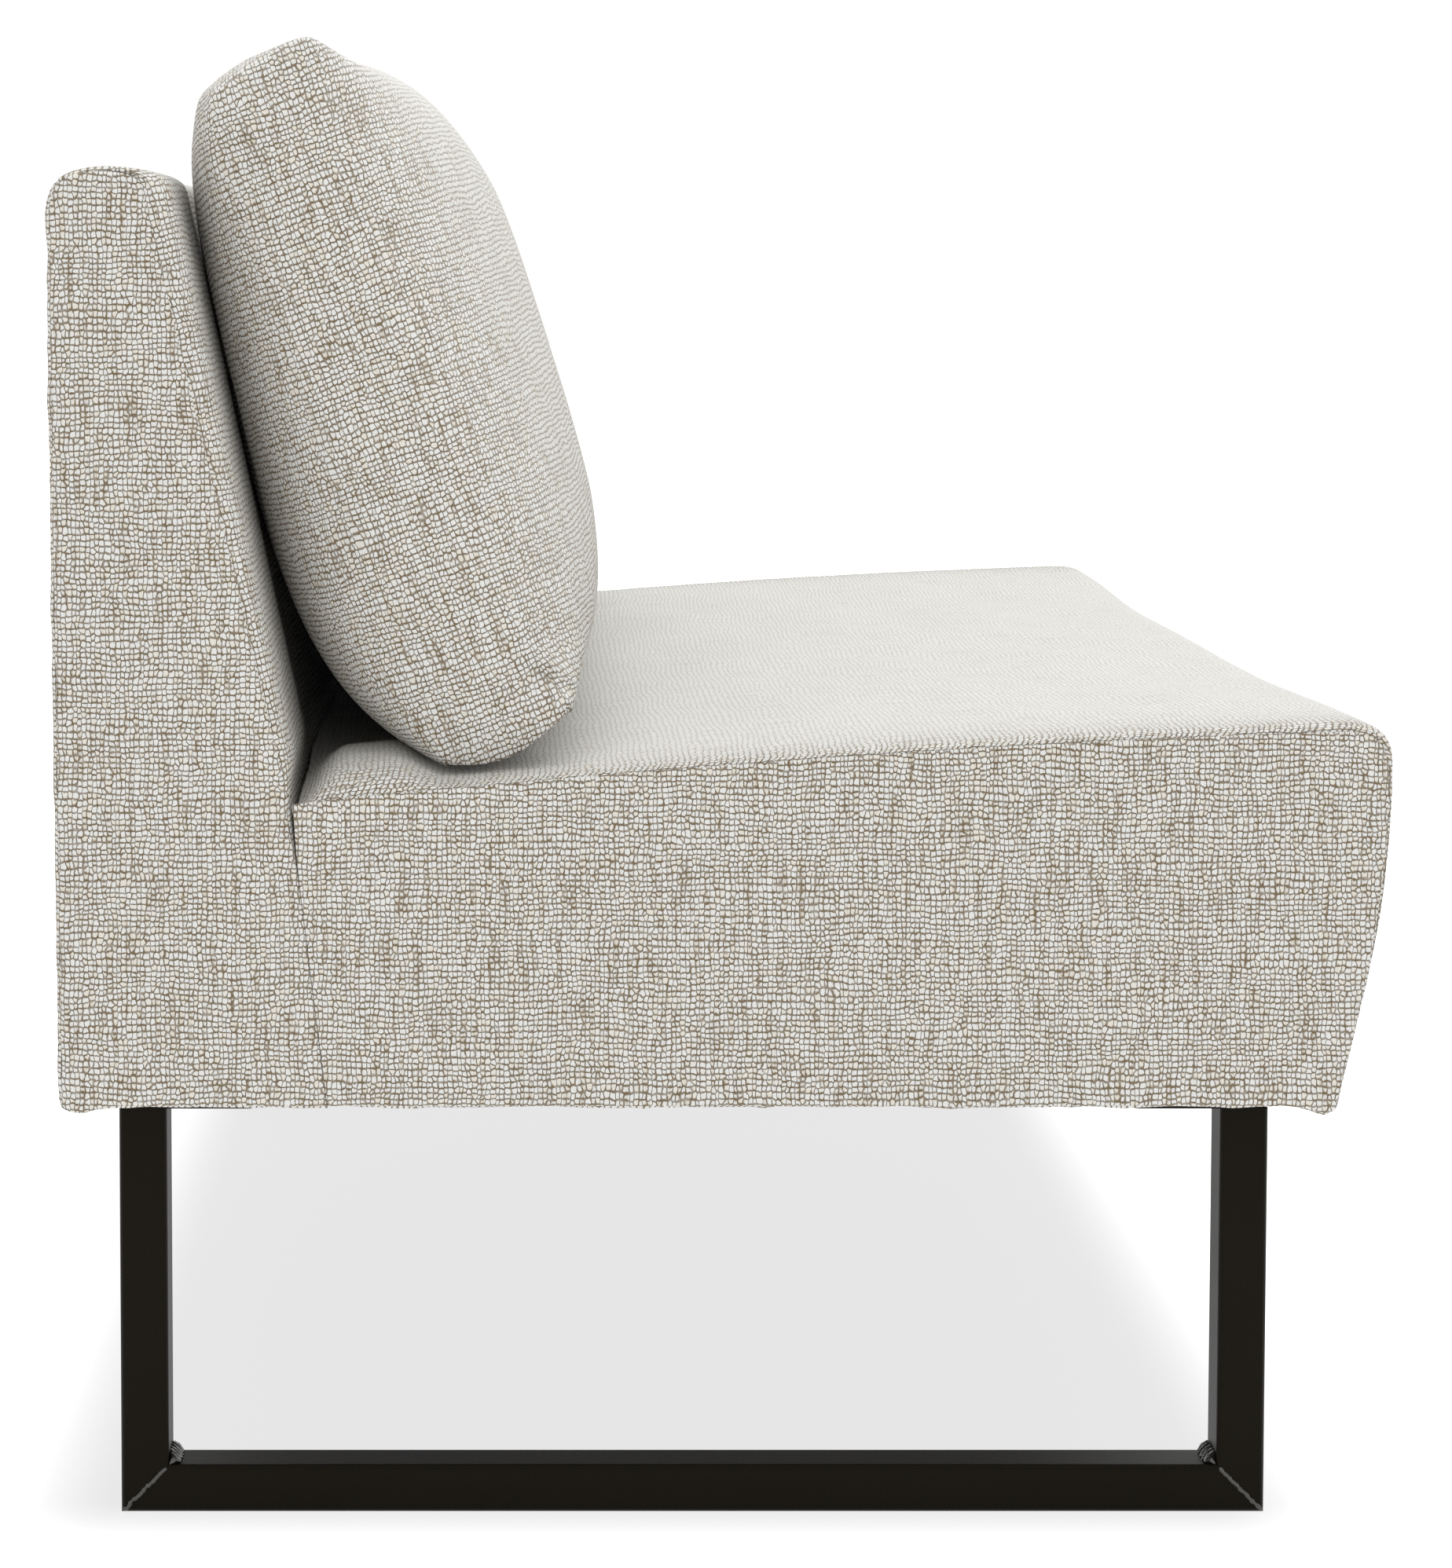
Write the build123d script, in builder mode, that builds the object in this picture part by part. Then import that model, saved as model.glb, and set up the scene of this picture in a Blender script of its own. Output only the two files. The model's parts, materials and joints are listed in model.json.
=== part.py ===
"""Upholstered dining bench with a low back, a loose back cushion and two sled legs.

Millimetres. X runs along the bench, the front faces -Y and +Z is up. The origin is on the floor,
under the middle of the bench.
"""

import os
from math import atan2, cos, hypot, radians, sin

from build123d import *

os.makedirs("parts", exist_ok=True)

# Overall sizes
bench_length = 1120.0
bench_depth = 830.0
underside_height = 262.0

# Sled legs of square steel tube
tube_size = 30.0
tube_wall = 2.0
tube_corner = 3.0
sled_end_inset = 20.0
sled_front_inset = 71.5
sled_rear_inset = 40.5
weld_width = 5.0
weld_rise = 0.9
weld_fillet = 5.5

# Mounting plates and their fasteners
plate_thickness = 4.0
plate_width = 88.0
plate_depth = 86.0
plate_corner = 6.0
bolt_from_outer_edge = 66.0
bolt_from_tube_edge = 44.0
bolt_pitch_x = 30.0
bolt_pitch_y = 50.0
bolt_diameter = 8.0
bolt_hole = 9.0
bolt_head_across = 13.0
bolt_head_height = 5.3
bolt_end = 3.0
washer_diameter = 17.0
washer_thickness = 1.6
tee_barrel = 11.0
tee_barrel_length = 11.0
tee_flange = 20.0
tee_flange_thickness = 1.5
fit_gap = 0.15

# Fabric and padding
cover_thickness = 2.0
dust_cover_thickness = 1.0
dust_cover_inset = 14.0
soft_gap = 0.3
end_pad = 10.0
front_pad = 14.0
rear_pad = 5.0
felt_thickness = 4.0

# Wooden base
rail_thickness = 25.0
rail_height = 95.0
web_rail_from_rear = 190.0
centre_rail_drop = 15.0
corner_block = 80.0
corner_block_depth = 90.0
corner_block_height = 42.0
dowel_diameter = 8.0
dowel_length = 50.0
dowel_pitch = 48.0

# Elastic seat webbing
depth_strap_count = 8
length_strap_count = 4
strap_spacing = 120.0
strap_width = 70.0
strap_thickness = 2.0

# Seat outline, at its ends
seat_front_height = 493.0
seat_rear_height = 452.0
seat_top_bow = 6.0
nose_reach = 45.0
nose_drop = 25.0
nose_corner = 9.0
front_bow_height = 378.0
front_bow_inset = 8.0
front_foot_inset = 35.0
seat_crown = 12.0
front_crown = 4.0
nose_sag = 5.0
nose_draw = 10.0
end_seam_draw = 5.0
shoulder_inset = 70.0
hem_height = 376.0

# Back outline
back_height = 843.0
back_foot_inset = 9.0
back_top_flat = 33.0
back_top_depth = 61.0
back_base_depth = 149.0
back_rear_round = 26.0
back_front_round = 14.0
crease_height = 453.0
crease_foot_depth = 172.0
seat_to_back = 0.6

# Wooden back
post_thickness = 22.0
post_cover = 25.0
post_top_drop = 31.0
back_rail_depth = 24.0
back_rail_height = 40.0
lower_rail_height = 470.0
stile_width = 45.0
board_thickness = 3.0
web_count = 7
web_width = 50.0
web_spacing = 140.0
web_thickness = 2.0
post_bolt_heights = (288.0, 338.0)
post_bolt_from_rear = 100.0
post_bolt_head = 18.0
post_bolt_head_height = 4.0
nut_across = 13.0
nut_height = 6.5

# Loose back cushion
cushion_length = 1070.0
cushion_height = 447.0
cushion_boxing = 75.0
cushion_tilt = 20.5
cushion_front_crown = 75.0
cushion_back_crown = 66.0
cushion_top_crown = 20.0
cushion_bottom_sag = 4.0
cushion_edge_crown = 3.0
cushion_seam = 4.0
rest_gap = 0.5

# Places that follow from the sizes
half_length = bench_length / 2
rear_y = bench_depth / 2
front_y = -bench_depth / 2
frame_half = half_length - cover_thickness - end_pad
panel_inner = half_length - cover_thickness
sled_x = half_length - sled_end_inset - tube_size / 2
sled_front = front_y + sled_front_inset
sled_rear = rear_y - sled_rear_inset
dust_bottom = underside_height - dust_cover_thickness
plate_bottom = dust_bottom - plate_thickness
rail_bottom = underside_height + cover_thickness
rail_top = rail_bottom + rail_height
front_rail_front = front_y + front_foot_inset + cover_thickness + front_pad
front_rail_rear = front_rail_front + rail_thickness
rear_rail_rear = rear_y - back_foot_inset - cover_thickness - rear_pad - board_thickness
rear_rail_front = rear_rail_rear - rail_thickness
web_rail_front = rear_y - web_rail_from_rear - rail_thickness / 2
web_rail_rear = web_rail_front + rail_thickness
end_rail_inner = frame_half - rail_thickness
post_inner = end_rail_inner - post_thickness
block_top = underside_height + corner_block_height
felt_bottom = rail_top + 2 * strap_thickness + soft_gap
foam_bottom = felt_bottom + felt_thickness + soft_gap
crease_y = rear_y - back_base_depth
crease_foot_y = rear_y - crease_foot_depth
sides = (("left", -1), ("right", 1))
ends = (("front", sled_front, 1), ("rear", sled_rear, -1))


def save(piece, name):
    """Labels a finished piece and writes it under its name."""
    piece.part.label = name
    export_step(piece.part, f"parts/{name}.step")


def block(x_from, x_to, y_from, y_to, z_from, z_to, mode=Mode.ADD):
    """A box between two corners, in the part that is being built."""
    with Locations(((x_from + x_to) / 2, (y_from + y_to) / 2, (z_from + z_to) / 2)):
        Box(abs(x_to - x_from), abs(y_to - y_from), abs(z_to - z_from), mode=mode)


def across(x):
    """The plane across the bench at length x: local x is depth, local y is height."""
    return Plane(origin=(x, 0, 0), x_dir=(0, 1, 0), z_dir=(1, 0, 0))


def circle_through(a, b, c):
    """Centre and radius of the circle through three points."""
    d = 2 * (a[0] * (b[1] - c[1]) + b[0] * (c[1] - a[1]) + c[0] * (a[1] - b[1]))
    squares = [p[0] ** 2 + p[1] ** 2 for p in (a, b, c)]
    u = squares[0] * (b[1] - c[1]) + squares[1] * (c[1] - a[1]) + squares[2] * (a[1] - b[1])
    v = squares[0] * (c[0] - b[0]) + squares[1] * (a[0] - c[0]) + squares[2] * (b[0] - a[0])
    return (u / d, v / d), hypot(a[0] - u / d, a[1] - v / d)


def bolt_points(side):
    """Where the leg bolts of one sled pass through its two plates."""
    x = side * (sled_x + tube_size / 2 - bolt_from_outer_edge)
    return [
        (x + i * bolt_pitch_x / 2, y + inward * bolt_from_tube_edge + j * bolt_pitch_y / 2)
        for _, y, inward in ends
        for i in (-1, 1)
        for j in (-1, 1)
    ]


leg_bolt_points = [point for _, side in sides for point in bolt_points(side)]


# Sled legs
for side_name, side in sides:
    tube_x = side * sled_x

    for end_name, outer_y, inward in ends:
        mitre = Plane(origin=(tube_x, outer_y, 0), x_dir=(1, 0, 0), z_dir=(0, -inward, 1))
        with BuildPart() as upright:
            with BuildSketch(Plane(origin=(tube_x, outer_y + inward * tube_size / 2, 0))):
                RectangleRounded(tube_size, tube_size, tube_corner)
                RectangleRounded(
                    tube_size - 2 * tube_wall,
                    tube_size - 2 * tube_wall,
                    tube_corner - tube_wall,
                    mode=Mode.SUBTRACT,
                )
            extrude(amount=plate_bottom)
            split(bisect_by=mitre, keep=Keep.TOP)
        save(upright, f"{side_name}_{end_name}_leg")

        plate_y = outer_y + inward * plate_depth / 2
        with BuildPart() as plate:
            plate_x = side * (sled_x + tube_size / 2 - plate_width / 2)
            with BuildSketch(Plane(origin=(plate_x, plate_y, plate_bottom))):
                RectangleRounded(plate_width, plate_depth, plate_corner)
            extrude(amount=plate_thickness)
            with BuildSketch(Plane.XY.offset(plate_bottom)):
                with Locations(*[p for p in bolt_points(side) if p[1] * plate_y > 0]):
                    Circle(bolt_hole / 2)
            extrude(amount=plate_thickness, mode=Mode.SUBTRACT)
        save(plate, f"{side_name}_{end_name}_plate")

    with BuildPart() as runner:
        runner_start = (tube_x, sled_front, tube_size / 2)
        with BuildSketch(Plane(origin=runner_start, x_dir=(1, 0, 0), z_dir=(0, 1, 0))):
            RectangleRounded(tube_size, tube_size, tube_corner)
            RectangleRounded(
                tube_size - 2 * tube_wall,
                tube_size - 2 * tube_wall,
                tube_corner - tube_wall,
                mode=Mode.SUBTRACT,
            )
        extrude(amount=sled_rear - sled_front)
        for _, outer_y, inward in ends:
            mitre = Plane(origin=(tube_x, outer_y, 0), x_dir=(1, 0, 0), z_dir=(0, -inward, 1))
            split(bisect_by=mitre, keep=Keep.BOTTOM)
    save(runner, f"{side_name}_runner")

    with BuildPart() as welds:
        weld_length = tube_size - 2 * tube_corner
        for _, outer_y, inward in ends:
            for face in (-1, 1):
                start = (
                    tube_x + face * tube_size / 2,
                    outer_y + inward * tube_corner,
                    tube_corner,
                )
                along = Plane(origin=start, x_dir=(face, 0, 0), z_dir=(0, inward, 1))
                with BuildSketch(along):
                    with BuildLine():
                        ThreePointArc((0, -weld_width / 2), (weld_rise, 0), (0, weld_width / 2))
                        Line((0, weld_width / 2), (0, -weld_width / 2))
                    make_face()
                extrude(amount=weld_length * 2**0.5)
            corner_y = outer_y + inward * tube_size
            with BuildSketch(across(tube_x - weld_length / 2)):
                with BuildLine():
                    Polyline(
                        (corner_y, tube_size + weld_fillet),
                        (corner_y, tube_size),
                        (corner_y + inward * weld_fillet, tube_size),
                    )
                    ThreePointArc(
                        (corner_y + inward * weld_fillet, tube_size),
                        (corner_y + inward * weld_fillet * 0.55, tube_size + weld_fillet * 0.55),
                        (corner_y, tube_size + weld_fillet),
                    )
                make_face()
            extrude(amount=weld_length)
    save(welds, f"{side_name}_weld_beads")


# Leg bolts, washers and tee nuts
washer_bottom = plate_bottom - washer_thickness
with BuildPart() as leg_bolts:
    with BuildSketch(Plane.XY.offset(washer_bottom - bolt_head_height)):
        with Locations(*leg_bolt_points):
            RegularPolygon(bolt_head_across / 2, 6, major_radius=False)
    extrude(amount=bolt_head_height)
    with BuildSketch(Plane.XY.offset(washer_bottom)):
        with Locations(*leg_bolt_points):
            Circle(bolt_diameter / 2)
    extrude(amount=block_top + bolt_end - washer_bottom)
save(leg_bolts, "leg_bolts")

with BuildPart() as leg_washers:
    with BuildSketch(Plane.XY.offset(washer_bottom)):
        with Locations(*leg_bolt_points):
            Circle(washer_diameter / 2)
            Circle(bolt_diameter / 2 + fit_gap, mode=Mode.SUBTRACT)
    extrude(amount=washer_thickness)
save(leg_washers, "leg_washers")

with BuildPart() as tee_nuts:
    with BuildSketch(Plane.XY.offset(block_top - tee_barrel_length)):
        with Locations(*leg_bolt_points):
            Circle(tee_barrel / 2)
    extrude(amount=tee_barrel_length)
    with BuildSketch(Plane.XY.offset(block_top)):
        with Locations(*leg_bolt_points):
            Circle(tee_flange / 2)
    extrude(amount=tee_flange_thickness)
    with BuildSketch(Plane.XY.offset(block_top - tee_barrel_length)):
        with Locations(*leg_bolt_points):
            Circle(bolt_diameter / 2 + fit_gap)
    extrude(amount=tee_barrel_length + tee_flange_thickness, mode=Mode.SUBTRACT)
save(tee_nuts, "tee_nuts")


# Wooden base, doweled at its corners
dowel_x = (frame_half + end_rail_inner) / 2
dowel_middle = (rail_bottom + rail_top) / 2
dowel_heights = (dowel_middle - dowel_pitch / 2, dowel_middle + dowel_pitch / 2)
dowel_joints = [(side * dowel_x, y) for _, side in sides for y in (front_rail_rear, rear_rail_front)]


def dowels(diameter, length, mode=Mode.ADD):
    """The corner dowels, or the holes for them, in the part that is being built."""
    places = [(x, y, z) for x, y in dowel_joints for z in dowel_heights]
    with Locations(*places):
        Cylinder(diameter / 2, length, rotation=(90, 0, 0), mode=mode)


def dowel_holes():
    """Holes with a little room for the dowels."""
    dowels(dowel_diameter + 2 * fit_gap, dowel_length + 2 * fit_gap, Mode.SUBTRACT)


with BuildPart() as front_rail:
    block(-frame_half, frame_half, front_rail_front, front_rail_rear, rail_bottom, rail_top)
    dowel_holes()
save(front_rail, "front_rail")

with BuildPart() as rear_rail:
    block(-frame_half, frame_half, rear_rail_front, rear_rail_rear, rail_bottom, rail_top)
    dowel_holes()
save(rear_rail, "rear_rail")

with BuildPart() as rail_dowels:
    dowels(dowel_diameter, dowel_length)
save(rail_dowels, "rail_dowels")

post_bolt_y = rear_rail_front - post_bolt_from_rear


def post_bolt_row(side, x_from, x_to, diameter, mode=Mode.ADD):
    """Round bars along X at the two post bolts of one end, in the part that is being built."""
    middle = side * (x_from + x_to) / 2
    with Locations(*[(middle, post_bolt_y, z) for z in post_bolt_heights]):
        Cylinder(diameter / 2, x_to - x_from, rotation=(0, 90, 0), mode=mode)


def post_bolt_holes(side):
    """Bolt holes through end rail and post, with a recess for the heads."""
    head_from = frame_half - post_bolt_head_height - fit_gap
    post_bolt_row(side, post_inner, frame_half, bolt_diameter + 2 * fit_gap, Mode.SUBTRACT)
    post_bolt_row(side, head_from, frame_half, post_bolt_head + 2 * fit_gap, Mode.SUBTRACT)


for side_name, side in sides:
    with BuildPart() as end_rail:
        block(
            side * end_rail_inner,
            side * frame_half,
            front_rail_rear,
            rear_rail_front,
            rail_bottom,
            rail_top,
        )
        dowel_holes()
        post_bolt_holes(side)
    save(end_rail, f"{side_name}_end_rail")

with BuildPart() as web_rail:
    block(
        -end_rail_inner, end_rail_inner, web_rail_front, web_rail_rear, rail_bottom, rail_top
    )
save(web_rail, "web_rail")

with BuildPart() as centre_rail:
    block(
        -rail_thickness / 2,
        rail_thickness / 2,
        front_rail_rear,
        web_rail_front,
        rail_bottom,
        rail_top - centre_rail_drop,
    )
save(centre_rail, "centre_rail")

with BuildPart() as corner_blocks:
    for _, side in sides:
        for outer_x, rail_y, inward in (
            (end_rail_inner, front_rail_rear, 1),
            (post_inner, rear_rail_front, -1),
        ):
            block(
                side * outer_x,
                side * (outer_x - corner_block),
                rail_y,
                rail_y + inward * corner_block_depth,
                underside_height,
                block_top,
            )
    with BuildSketch(Plane.XY.offset(underside_height)):
        with Locations(*leg_bolt_points):
            Circle(bolt_hole / 2)
    extrude(amount=corner_block_height, mode=Mode.SUBTRACT)
    with BuildSketch(Plane.XY.offset(block_top - tee_barrel_length - fit_gap)):
        with Locations(*leg_bolt_points):
            Circle(tee_barrel / 2 + fit_gap)
    extrude(amount=tee_barrel_length + fit_gap, mode=Mode.SUBTRACT)
save(corner_blocks, "corner_blocks")


# Elastic webbing under the seat, tacked to the tops of the rails
with BuildPart() as depth_webbing:
    depth_middle = (front_rail_front + web_rail_rear) / 2
    with BuildSketch(Plane.XY.offset(rail_top)):
        with Locations((0, depth_middle)):
            with GridLocations(strap_spacing, 0, depth_strap_count, 1):
                Rectangle(strap_width, web_rail_rear - front_rail_front)
    extrude(amount=strap_thickness)
save(depth_webbing, "seat_webbing_front_to_back")

with BuildPart() as length_webbing:
    length_middle = (front_rail_rear + web_rail_front) / 2
    with BuildSketch(Plane.XY.offset(rail_top + strap_thickness)):
        with Locations((0, length_middle)):
            with GridLocations(0, strap_spacing, 1, length_strap_count):
                Rectangle(2 * frame_half, strap_width)
    extrude(amount=strap_thickness)
save(length_webbing, "seat_webbing_end_to_end")


# Seat padding and cover
def seat_points(inset, along):
    """Corner and mid-arc points of the seat's outline. Along runs from 0 at the middle to 1 at an end."""
    shoulder = 1 - shoulder_inset / half_length
    swell = 1 - along**6
    hollow = max(0.0, 1 - (along / shoulder) ** 2) ** 2
    pull = max(0.0, (along - shoulder) / (1 - shoulder)) ** 2
    crown = seat_crown * swell
    draw = nose_draw * hollow + end_seam_draw * pull
    lift = front_crown * swell - nose_sag * hollow
    rear_foot = (crease_foot_y - seat_to_back - inset, underside_height + inset)
    rear_top = (crease_y - seat_to_back - inset, seat_rear_height + crown - inset)
    nose_top = (front_y + nose_reach + draw, seat_front_height + lift - inset)
    nose_low = (front_y + draw + inset, seat_front_height - nose_drop + lift)
    nose_turn = (
        front_y + nose_corner + draw + inset,
        seat_front_height - nose_corner + lift - inset,
    )
    bow = (front_y + front_bow_inset + draw / 2 + inset, front_bow_height)
    foot = (front_y + front_foot_inset + inset, underside_height + inset)
    top_middle = (
        (nose_top[0] + rear_top[0]) / 2,
        (nose_top[1] + rear_top[1]) / 2 + seat_top_bow,
    )
    return rear_foot, rear_top, top_middle, nose_top, nose_turn, nose_low, bow, foot


def seat_section(inset, x):
    """The seat's closed outline across the bench at x."""
    rear_foot, rear_top, top_middle, nose_top, nose_turn, nose_low, bow, foot = seat_points(
        inset, abs(x) / half_length
    )
    with BuildSketch(across(x)) as section:
        with BuildLine():
            Line(rear_foot, rear_top)
            ThreePointArc(rear_top, top_middle, nose_top)
            ThreePointArc(nose_top, nose_turn, nose_low)
            ThreePointArc(nose_low, bow, foot)
            Line(foot, rear_foot)
        make_face()
    return section.sketch


def seat_body(inset, half):
    """The seat as one crowned body, drawn in along its front edge."""
    with BuildPart() as body:
        stations = (0, 0.4, 0.7, 0.85, 0.94, 1)
        mirrored = [-f for f in reversed(stations[1:])]
        loft([seat_section(inset, f * half) for f in (*mirrored, *stations)])
    return body.part


foam_inset = cover_thickness + soft_gap
foam_half = panel_inner - soft_gap
seat_foam_body = seat_body(foam_inset, foam_half)
lower_foam_top = foam_bottom - soft_gap

with BuildPart() as seat_foam:
    add(seat_foam_body)
    split(bisect_by=Plane.XY.offset(foam_bottom), keep=Keep.TOP)
save(seat_foam, "seat_foam")

with BuildPart() as front_foam:
    add(seat_foam_body)
    split(bisect_by=Plane.XY.offset(lower_foam_top), keep=Keep.BOTTOM)
    split(bisect_by=Plane.XZ.offset(soft_gap - front_rail_front), keep=Keep.TOP)
save(front_foam, "front_foam")

with BuildPart() as seat_felt:
    block(
        -end_rail_inner,
        end_rail_inner,
        front_rail_front,
        web_rail_rear,
        felt_bottom,
        felt_bottom + felt_thickness,
    )
save(seat_felt, "seat_felt")

with BuildPart() as seat_cover:
    add(seat_body(0, panel_inner))
    add(seat_body(cover_thickness, half_length), mode=Mode.SUBTRACT)
    block(
        -half_length, half_length, front_rail_rear, rear_y, 0, hem_height, Mode.SUBTRACT
    )
save(seat_cover, "seat_cover")

for side_name, side in sides:
    with BuildPart() as seat_end_panel:
        extrude(seat_section(0, side * half_length), amount=-side * cover_thickness)
    save(seat_end_panel, f"{side_name}_seat_end_panel")

    with BuildPart() as seat_end_pad:
        pad_outer = side * (panel_inner - soft_gap)
        extrude(seat_section(foam_inset, pad_outer), amount=-side * (end_pad - 2 * soft_gap))
        split(bisect_by=Plane.XY.offset(lower_foam_top), keep=Keep.BOTTOM)
        split(bisect_by=Plane.XZ.offset(-front_rail_front), keep=Keep.BOTTOM)
    save(seat_end_pad, f"{side_name}_seat_end_pad")


# Wooden back
back_front_top = (rear_y - back_top_depth, back_height - back_front_round)
rake = atan2(back_front_top[0] - crease_y, back_front_top[1] - crease_height)
rear_top_height = back_height - back_rear_round
post_top = back_height - post_top_drop
board_depth = cover_thickness + rear_pad + board_thickness


def front_at(z):
    """Depth of the back's raked front face at height z."""
    slope = (back_front_top[0] - crease_y) / (back_front_top[1] - crease_height)
    return crease_y + (z - crease_height) * slope


def rear_at(z):
    """Depth of the back's rear face at height z."""
    rise = (z - underside_height) / (rear_top_height - underside_height)
    return rear_y - back_foot_inset * (1 - rise)


raked = Plane(
    origin=(0, front_at(lower_rail_height) + post_cover, lower_rail_height),
    x_dir=(1, 0, 0),
    z_dir=(0, -cos(rake), sin(rake)),
)
raked_top = (post_top - lower_rail_height) / cos(rake) - back_rail_depth * sin(rake)

for side_name, side in sides:
    upper_edge = [
        (rear_at(rail_top) - board_depth, rail_top),
        (rear_at(post_top) - board_depth, post_top),
        (front_at(post_top) + post_cover, post_top),
    ]
    with BuildPart() as back_post:
        with BuildSketch(across(side * post_inner)):
            Polygon(
                (front_at(rail_bottom) + post_cover, rail_bottom),
                (rear_rail_front, rail_bottom),
                (rear_rail_front, rail_top),
                *upper_edge,
                align=None,
            )
        extrude(amount=side * post_thickness)
        with BuildSketch(across(side * end_rail_inner)):
            Polygon(
                (front_at(rail_top) + post_cover, rail_top),
                *upper_edge,
                align=None,
            )
        extrude(amount=side * rail_thickness)
        post_bolt_holes(side)
    save(back_post, f"{side_name}_back_post")

with BuildPart() as post_bolts:
    for _, side in sides:
        bolt_tip = post_inner - nut_height - bolt_end
        head_from = frame_half - post_bolt_head_height
        post_bolt_row(side, bolt_tip, head_from, bolt_diameter)
        post_bolt_row(side, head_from, frame_half, post_bolt_head)
save(post_bolts, "post_bolts")

with BuildPart() as post_nuts:
    for _, side in sides:
        with BuildSketch(across(side * post_inner)):
            with Locations(*[(post_bolt_y, z) for z in post_bolt_heights]):
                RegularPolygon(nut_across / 2, 6, major_radius=False)
                Circle(bolt_diameter / 2 + fit_gap, mode=Mode.SUBTRACT)
        extrude(amount=-side * nut_height)
save(post_nuts, "post_nuts")

with BuildPart() as lower_back_rail:
    with BuildSketch(raked):
        with Locations((0, back_rail_height / 2)):
            Rectangle(2 * post_inner, back_rail_height)
    extrude(amount=-back_rail_depth)
save(lower_back_rail, "lower_back_rail")

with BuildPart() as top_back_rail:
    with BuildSketch(raked):
        with Locations((0, raked_top - back_rail_height / 2)):
            Rectangle(2 * post_inner, back_rail_height)
    extrude(amount=-back_rail_depth)
save(top_back_rail, "top_back_rail")

with BuildPart() as centre_stile:
    with BuildSketch(raked):
        with Locations((0, raked_top / 2)):
            Rectangle(stile_width, raked_top - 2 * back_rail_height)
    extrude(amount=-back_rail_depth)
save(centre_stile, "centre_stile")

with BuildPart() as back_webbing:
    with BuildSketch(raked):
        with Locations((0, raked_top / 2)):
            with GridLocations(web_spacing, 0, web_count, 1):
                Rectangle(web_width, raked_top)
    extrude(amount=web_thickness)
save(back_webbing, "back_webbing")

with BuildPart() as back_board:
    with BuildSketch(across(-frame_half)):
        Polygon(
            (rear_at(rail_bottom) - board_depth, rail_bottom),
            (rear_at(rail_bottom) - board_depth + board_thickness, rail_bottom),
            (rear_at(post_top) - board_depth + board_thickness, post_top),
            (rear_at(post_top) - board_depth, post_top),
            align=None,
        )
    extrude(amount=2 * frame_half)
save(back_board, "back_board")


# Back padding and cover
def back_section(inset, x):
    """The back's closed outline across the bench at x, drawn in by inset."""
    foot = (rear_y - back_foot_inset, underside_height)
    rear_top = (rear_y, rear_top_height)
    top = (rear_y - back_top_flat, back_height)
    turn = 1 - 0.5**0.5
    rear_turn = (
        rear_top[0] - turn * back_top_flat,
        back_height - turn * back_rear_round,
    )
    front_turn = (
        back_front_top[0] + turn * (back_top_depth - back_top_flat),
        back_height - turn * back_front_round,
    )
    with BuildSketch(across(x)) as section:
        with BuildLine():
            Line(foot, rear_top)
            ThreePointArc(rear_top, rear_turn, top)
            ThreePointArc(top, front_turn, back_front_top)
            Polyline(back_front_top, (crease_y, crease_height), (crease_foot_y, underside_height), foot)
        make_face()
        if inset:
            offset(amount=-inset)
    return section.sketch


with BuildPart() as back_foam:
    extrude(back_section(foam_inset, -frame_half), amount=2 * frame_half)
    split(bisect_by=raked.offset(web_thickness + soft_gap), keep=Keep.TOP)
    split(bisect_by=Plane.XY.offset(hem_height), keep=Keep.TOP)
save(back_foam, "back_foam")

with BuildPart() as top_foam:
    extrude(back_section(foam_inset, -frame_half), amount=2 * frame_half)
    split(bisect_by=raked.offset(web_thickness), keep=Keep.BOTTOM)
    split(bisect_by=Plane.XY.offset(post_top + soft_gap), keep=Keep.TOP)
save(top_foam, "top_foam")

with BuildPart() as rear_wadding:
    with BuildSketch(across(-frame_half)):
        Polygon(
            (rear_at(rail_bottom) - cover_thickness - rear_pad + soft_gap, rail_bottom),
            (rear_at(rail_bottom) - cover_thickness - soft_gap, rail_bottom),
            (rear_at(post_top) - cover_thickness - soft_gap, post_top),
            (rear_at(post_top) - cover_thickness - rear_pad + soft_gap, post_top),
            align=None,
        )
    extrude(amount=2 * frame_half)
save(rear_wadding, "rear_wadding")

with BuildPart() as back_cover:
    extrude(back_section(0, -panel_inner), amount=2 * panel_inner)
    extrude(back_section(cover_thickness, -half_length), amount=bench_length, mode=Mode.SUBTRACT)
    block(-half_length, half_length, front_y, rear_rail_front, 0, hem_height, Mode.SUBTRACT)
save(back_cover, "back_cover")

for side_name, side in sides:
    with BuildPart() as back_end_panel:
        extrude(back_section(0, side * half_length), amount=-side * cover_thickness)
    save(back_end_panel, f"{side_name}_back_end_panel")

    with BuildPart() as back_end_pad:
        pad_outer = side * (panel_inner - soft_gap)
        extrude(back_section(foam_inset, pad_outer), amount=-side * (end_pad - 2 * soft_gap))
    save(back_end_pad, f"{side_name}_back_end_pad")

with BuildPart() as dust_cover:
    block(
        dust_cover_inset - half_length,
        half_length - dust_cover_inset,
        front_y + front_foot_inset + dust_cover_inset,
        rear_y - back_foot_inset - dust_cover_inset,
        dust_bottom,
        underside_height,
    )
    with BuildSketch(Plane.XY.offset(dust_bottom)):
        with Locations(*leg_bolt_points):
            Circle(bolt_hole / 2)
    extrude(amount=dust_cover_thickness, mode=Mode.SUBTRACT)
save(dust_cover, "dust_cover")


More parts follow.
